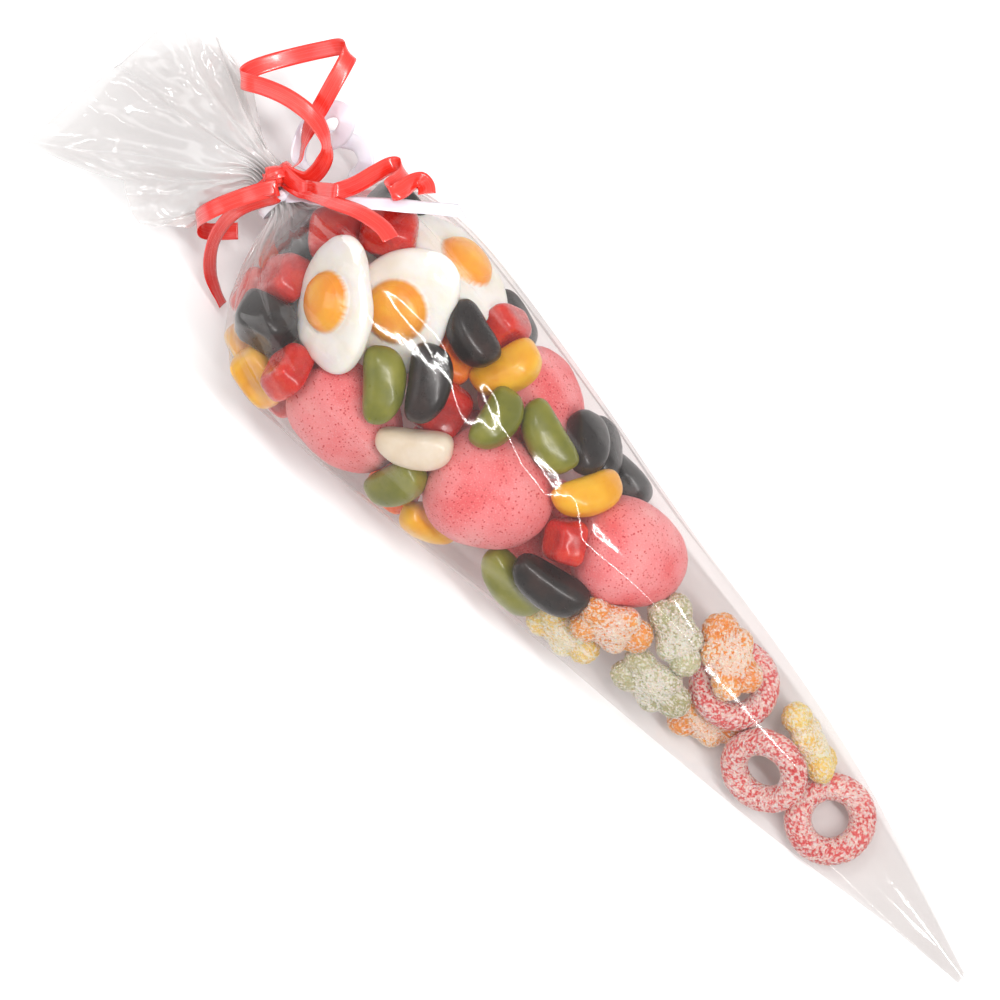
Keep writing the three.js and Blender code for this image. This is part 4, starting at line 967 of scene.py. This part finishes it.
def relax(P, l, ring, pinned, field, rounds, grav, seed):
    nu, nv = P.shape[:2]
    lo_g, h_g = field[1], field[2]
    dl = np.diff(l)
    along = np.repeat(dl[:, None], nv, 1)
    fl = l[:-1] >= 333
    d0 = np.linalg.norm(np.diff(P, axis=0), axis=2)
    m0 = (d0[fl].mean(0) * 0.5 + d0[fl].mean() * 0.15 + dl[fl][:, None] * 0.35)
    along[fl] = m0
    sh = (l[:-1] > 285) & (l[:-1] < 323)
    along[sh] = np.maximum(along[sh], d0[sh] * 0.92)
    across = np.repeat((ring / nv)[:, None], nv, 1)
    free = (~pinned).astype(float)[..., None]
    diag = np.sqrt(along ** 2 + ((across[:-1] + across[1:]) / 2) ** 2)

    def pull(a, b_, wa, wb, rest, k):
        d = b_ - a
        n = np.sqrt((d * d).sum(-1)) + 1e-9
        w = wa + wb
        f = ((n - rest) / n * k)[..., None] * d / np.maximum(w, 1e-6)
        a += f * wa
        b_ -= f * wb

    def push(a, b_, wa, wb, rest, k):
        d = b_ - a
        n = np.sqrt((d * d).sum(-1)) + 1e-9
        w = wa + wb
        f = (np.minimum(n - rest, 0) / n * k)[..., None] * d / np.maximum(w, 1e-6)
        a += f * wa
        b_ -= f * wb

    roll = lambda M: np.roll(M, -1, axis=1)
    edge = l > 372
    hold = P[edge][..., :2].copy()
    for it in range(rounds):
        P[..., 2] -= grav * free[..., 0]
        P[edge, :, :2] += 0.12 * (hold - P[edge, :, :2])
        # rings
        for o in (0, 1):
            if o == 0:
                a, b_ = P[:, 0::2], P[:, 1::2]
                pull(a, b_, free[:, 0::2], free[:, 1::2], across[:, 0::2], 0.95)
            else:
                Q = roll(P)
                Wr = roll(free)
                a, b_ = Q[:, 0::2].copy(), Q[:, 1::2].copy()
                pull(a, b_, Wr[:, 0::2], Wr[:, 1::2], across[:, 1::2], 0.95)
                Q[:, 0::2], Q[:, 1::2] = a, b_
                P[:] = np.roll(Q, 1, axis=1)
        # lengths
        for o in (0, 1):
            m_ = (nu - o) // 2 * 2
            a, b_ = P[o:o + m_:2], P[o + 1:o + m_:2]
            pull(a, b_, free[o:o + m_:2], free[o + 1:o + m_:2], along[o:o + m_ - 1:2], 0.95)
        # diagonals
        Q = roll(P)
        for o in (0, 1):
            m_ = (nu - o) // 2 * 2
            a, b_ = P[o:o + m_:2], np.roll(P, -1, 1)[o + 1:o + m_:2].copy()
            wa, wb = free[o:o + m_:2], np.roll(free, -1, 1)[o + 1:o + m_:2]
            pull(a, b_, wa, wb, diag[o:o + m_ - 1:2], 0.35)
            P[o + 1:o + m_:2] = np.roll(b_, 1, 1)
            a, b_ = P[o:o + m_:2], np.roll(P, 1, 1)[o + 1:o + m_:2].copy()
            wb = np.roll(free, 1, 1)[o + 1:o + m_:2]
            pull(a, b_, wa, wb, diag[o:o + m_ - 1:2], 0.35)
            P[o + 1:o + m_:2] = np.roll(b_, -1, 1)
        # stiffness against sharp folds
        for step in ((2,) if it % 2 else (2, 4)):
            for o in range(2):
                Qa, Qb = P, np.roll(P, -step, 1)
                mid = (P + Qb) / 2
                d = np.roll(P, -step // 2, 1) - mid
                reach = across * step * 0.60
                n = np.sqrt((d * d).sum(-1)) + 1e-9
                lim = reach * 0.62
                f = (np.maximum(n - lim, 0) / n * 0.30)[..., None] * d
                P -= np.roll(f, step // 2, 1) * free
                break
        d = P[1:-1] - (P[:-2] + P[2:]) / 2
        P[1:-1] -= 0.20 * d * free[1:-1]
        # contact
        if it % 2 == 0 or it > rounds - 4:
            k = np.where((l < 323))[0]
            sub = P[k].reshape(-1, 3)
            dist, g = sample(field[0], lo_g, h_g, sub)
            gn = np.sqrt((g * g).sum(-1)) + 1e-6
            near = dist / np.maximum(gn, 0.7) < 0.55
            mv = np.where(near & (gn > 0.2), 0.55 - dist / np.maximum(gn, 0.7), 0)
            mv = np.clip(mv, 0, 1.2)
            P[k] += (g / gn[:, None] * mv[:, None]).reshape(len(k), nv, 3) * free[k]
        P[..., 2] = np.maximum(P[..., 2], 0.12)
        # the photo's outline
        x = -P[..., 0]
        yc = np.interp(x, STATIONS[:, 0], STATIONS[:, 1])
        A = np.interp(x, STATIONS[:, 0], STATIONS[:, 3]) + np.where(x > 300, 60, 0.0)
        P[..., 1] = yc + np.clip(P[..., 1] - yc, -A, A)
        P[..., 0] = np.maximum(P[..., 0], -369.8)
    return P


def make_film():
    P, l, ring, pinned = start_film()
    field = sweets_field()
    print("field", round(time.time() - T1, 1), "s")
    # coarse first, then the full grid
    c = np.arange(0, ROWS, 2)
    Pc = P[c][:, ::2].copy()
    Pc = relax(Pc, l[c], ring[c], pinned[c][:, ::2], field, 240, 0.006, 1)
    print("coarse", round(time.time() - T1, 1), "s")
    D = Pc - P[c][:, ::2]
    F = np.zeros_like(P)
    F[::2, ::2] = D
    F[1:-1:2, ::2] = (D[:-1] + D[1:]) / 2
    F[-1, ::2] = D[-1]
    F[:, 1::2] = (F[:, ::2] + np.roll(F[:, ::2], -1, 1)) / 2
    P = P + F
    P = relax(P, l, ring, pinned, field, 110, 0.003, 2)
    print("fine", round(time.time() - T1, 1), "s")
    return P, field


P, FIELD = make_film()

# creases on the upper side: tent-shaped ridges along lines, as photo columns and rows, with width and height in mm
CREASES = [
    ([(372, 262), (388, 276), (415, 305), (440, 330), (452, 365), (456, 402), (462, 434)], 4.6, 0.85),
    ([(456, 402), (470, 372), (484, 352)], 2.6, 0.6),
    ([(484, 352), (500, 405), (520, 465), (548, 500)], 3.4, 0.62),
    ([(548, 500), (575, 497), (580, 540), (640, 590), (700, 650)], 3.6, 0.66),
    ([(262, 350), (285, 395), (330, 470)], 2.2, 0.5),
    ([(244, 268), (236, 320), (240, 380)], 2.2, 0.5),
    ([(300, 225), (322, 245), (345, 262)], 2.4, 0.6),
    ([(600, 470), (660, 560), (700, 640)], 2.2, 0.45),
    ([(760, 760), (840, 860), (930, 950)], 2.4, 0.45),
    ([(700, 740), (790, 850), (860, 900)], 2.0, 0.35),
]


def crease(P):
    d = P - CAM_W
    depth = -d[..., 2]
    u = 500 + (d @ RIGHT) / depth * 3460
    v = 500 - (d @ UP) / depth * 3460
    mm = depth / 3460
    zc = np.interp(-P[..., 0], STATIONS[:, 0], STATIONS[:, 2])
    top = smooth01(P[..., 2] - zc, 1.0, 5.0) * (P[..., 0] > -303)
    top = np.where(P[..., 0] > -60, smooth01(P[..., 2] - zc, 0.2, 1.2), top)
    rise = np.zeros(P.shape[:2])
    for line, width, high in CREASES:
        best = np.full(P.shape[:2], 1e9)
        for (ax, ay), (bx, by) in zip(line[:-1], line[1:]):
            ex, ey = bx - ax, by - ay
            t = np.clip(((u - ax) * ex + (v - ay) * ey) / (ex * ex + ey * ey), 0, 1)
            best = np.minimum(best, np.hypot(u - ax - t * ex, v - ay - t * ey) * mm)
        rise = np.maximum(rise, high * np.clip(1 - best / width, 0, 1))
    P[..., 2] += rise * top
    return P


def even_out(P, rounds):
    """take the grid's own zigzag out, so that the film reflects in clean facets"""
    rows = slice(1, 246)
    for _ in range(rounds):
        side = (np.roll(P, 1, 1) + np.roll(P, -1, 1)) / 2
        P[rows] += 0.5 * (side[rows] - P[rows])
        mid = (P[:-2] + P[2:]) / 2
        P[rows] += 0.5 * (mid[0:245] - P[rows])
    return P


def bridge(P, rounds):
    """the upper side spans the hollows between the sweets instead of dipping into them"""
    zc = np.interp(-P[..., 0], STATIONS[:, 0], STATIONS[:, 2])
    w = smooth01(P[..., 2] - zc, 2, 9) * smooth01(-P[..., 0], 60, 90) * (1 - smooth01(-P[..., 0], 286, 298))
    w = w[1:-1]
    for _ in range(rounds):
        Z = P[..., 2]
        side = (np.roll(Z, 1, 1) + np.roll(Z, -1, 1))[1:-1]
        Z[1:-1] += w * 0.9 * np.maximum((side + Z[:-2] + Z[2:]) / 4 - Z[1:-1], 0)
    return P


def keep_out(P, margin, passes=3):
    """the film stays outside the sweets"""
    if FIELD is None:
        return P
    for n in range(passes):
        sub = P[:246].reshape(-1, 3)
        dist, g = sample(*FIELD, sub)
        gn = np.sqrt((g * g).sum(-1)) + 1e-6
        dist = dist / np.maximum(gn, 0.7)
        print("film points inside the sweets", int((dist < 0).sum()), "close", int((dist < margin).sum()))
        mv = np.where(gn > 0.2, np.clip(margin - dist, 0, 2.5), 0)
        P[:246] += (g / gn[:, None] * mv[:, None]).reshape(246, COLS, 3)
        P[..., 2] = np.maximum(P[..., 2], 0.12)
    return P


P = keep_out(even_out(P, 2), 0.45)
P = keep_out(bridge(P, 140), 0.40, 2)
P = keep_out(even_out(P, 1), 0.30, 2)
P = crease(P)
i, j = np.meshgrid(np.arange(ROWS - 1), np.arange(COLS), indexing="ij")
q = lambda i, j: (i * COLS + j % COLS).ravel()
F = np.stack([q(i, j), q(i, j + 1), q(i + 1, j + 1), q(i + 1, j)], 1)
film = new_piece("look_cone_bag_film", to_m(P.reshape(-1, 3)), F)
haze = np.interp(-P[..., 0], [0, 60, 282, 295, 301, 306, 318, 335, 372], [0.05, 0.0, 0.0, 0.16, 0.5, 1.0, 0.8, 0.50, 0.45])
point_attr(film, "haze", haze.ravel())


def film_material():
    mat, nt, b, out = material("clear_film")
    v = coords(nt)
    nt.links.remove(out.inputs[0].links[0])
    tr = nt.nodes.new("ShaderNodeBsdfTransparent")
    mix = nt.nodes.new("ShaderNodeMixShader")
    nt.links.new(tr.outputs[0], mix.inputs[1])
    nt.links.new(b.outputs[0], mix.inputs[2])
    nt.links.new(mix.outputs[0], out.inputs[0])
    at = nt.nodes.new("ShaderNodeAttribute")
    at.attribute_name = "haze"
    lw = nt.nodes.new("ShaderNodeLayerWeight")
    lw.inputs["Blend"].default_value = 0.25
    face = nt.nodes.new("ShaderNodeMath")
    face.operation = "POWER"
    nt.links.new(lw.outputs["Facing"], face.inputs[0])
    face.inputs[1].default_value = 2.1
    cloud = maprange(nt, tex_noise(nt, v, 0.05, 3.0, 0.6), 0.35, 0.75, 0.0, 0.02)
    base = maprange(nt, at.outputs["Fac"], 0.0, 1.0, 0.045, 0.84)
    nt.links.new(maprange(nt, at.outputs["Fac"], 0.04, 0.36, 0.80, 0.14), b.inputs["Metallic"])
    s1 = nt.nodes.new("ShaderNodeMath")
    s1.operation = "ADD"
    nt.links.new(base, s1.inputs[0])
    nt.links.new(cloud, s1.inputs[1])
    s2 = nt.nodes.new("ShaderNodeMath")
    s2.operation = "MULTIPLY_ADD"
    nt.links.new(face.outputs[0], s2.inputs[0])
    s2.inputs[1].default_value = 0.62
    nt.links.new(s1.outputs[0], s2.inputs[2])
    s2.use_clamp = True
    nt.links.new(s2.outputs[0], mix.inputs[0])
    tint = ramp(nt, tex_noise(nt, v, 0.03, 2.0, 0.5), [(0.3, (0.885, 0.868, 0.862)), (0.7, (0.915, 0.902, 0.898))])
    nt.links.new(tint, tr.inputs[0])
    bc = ramp(nt, tex_noise(nt, v, 0.04, 2.0, 0.5), [(0.3, (0.82, 0.80, 0.79)), (0.7, (0.88, 0.865, 0.86))])
    nt.links.new(bc, b.inputs["Base Color"])
    b.inputs["Roughness"].default_value = 0.10
    b.inputs["Specular IOR Level"].default_value = 1.0
    bump(nt, b, tex_noise(nt, v, 0.25, 3.0, 0.5), 0.25, 0.0004)
    return mat


film.data.materials.append(film_material())
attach(film, "root")
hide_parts("cone_bag_film")


# ------------------------------------------------------------------ floor and light
floor = new_piece("floor", np.array([[-3, -3, 0], [3, -3, 0], [3, 3, 0], [-3, 3, 0]], float), np.array([[0, 1, 2, 3]]), False)
floor.location.z = -0.0004
fm, nt, b, out = material("floor")
fn = tex_noise(nt, coords(nt, 1.0), 3.0, 2.0, 0.5)
nt.links.new(ramp(nt, fn, [(0.2, (0.955, 0.955, 0.955)), (0.8, (0.975, 0.975, 0.975))]), b.inputs["Base Color"])
b.inputs["Roughness"].default_value = 0.9
floor.data.materials.append(fm)

world = bpy.data.worlds.new("world")
bpy.context.scene.world = world
world.use_nodes = True
bg = world.node_tree.nodes["Background"]
bg.inputs[0].default_value = (1.0, 1.0, 1.0, 1)
bg.inputs[1].default_value = 0.68


def area(name, at, to, size, power, colour=(1, 1, 1)):
    d = bpy.data.lights.new(name, "AREA")
    d.shape = "RECTANGLE"
    d.size, d.size_y = size
    d.energy = power
    d.color = colour
    o = bpy.data.objects.new(name, d)
    bpy.context.scene.collection.objects.link(o)
    o.location = at
    o.rotation_euler = (Vector(to) - Vector(at)).to_track_quat("-Z", "Y").to_euler()
    return o


def image_dir(r, u, z):
    v = RIGHT * r + UP * u
    return (v[0], v[1], z)


area("key", (0.375, 0.23, 1.12), (0.375, 0, 0), (1.15, 0.055), 10.5)
area("fill", (-0.75, -0.55, 0.95), (0, 0, 0), (0.7, 0.7), 2.0)
area("top", (-0.55, 0.25, 1.20), (-0.1, 0, 0), (0.2, 0.2), 2.2)

sc = bpy.context.scene
sc.view_settings.view_transform = "Standard"
sc.view_settings.look = "None"

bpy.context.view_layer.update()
print("scene built", round(time.time() - T0, 1), "s")
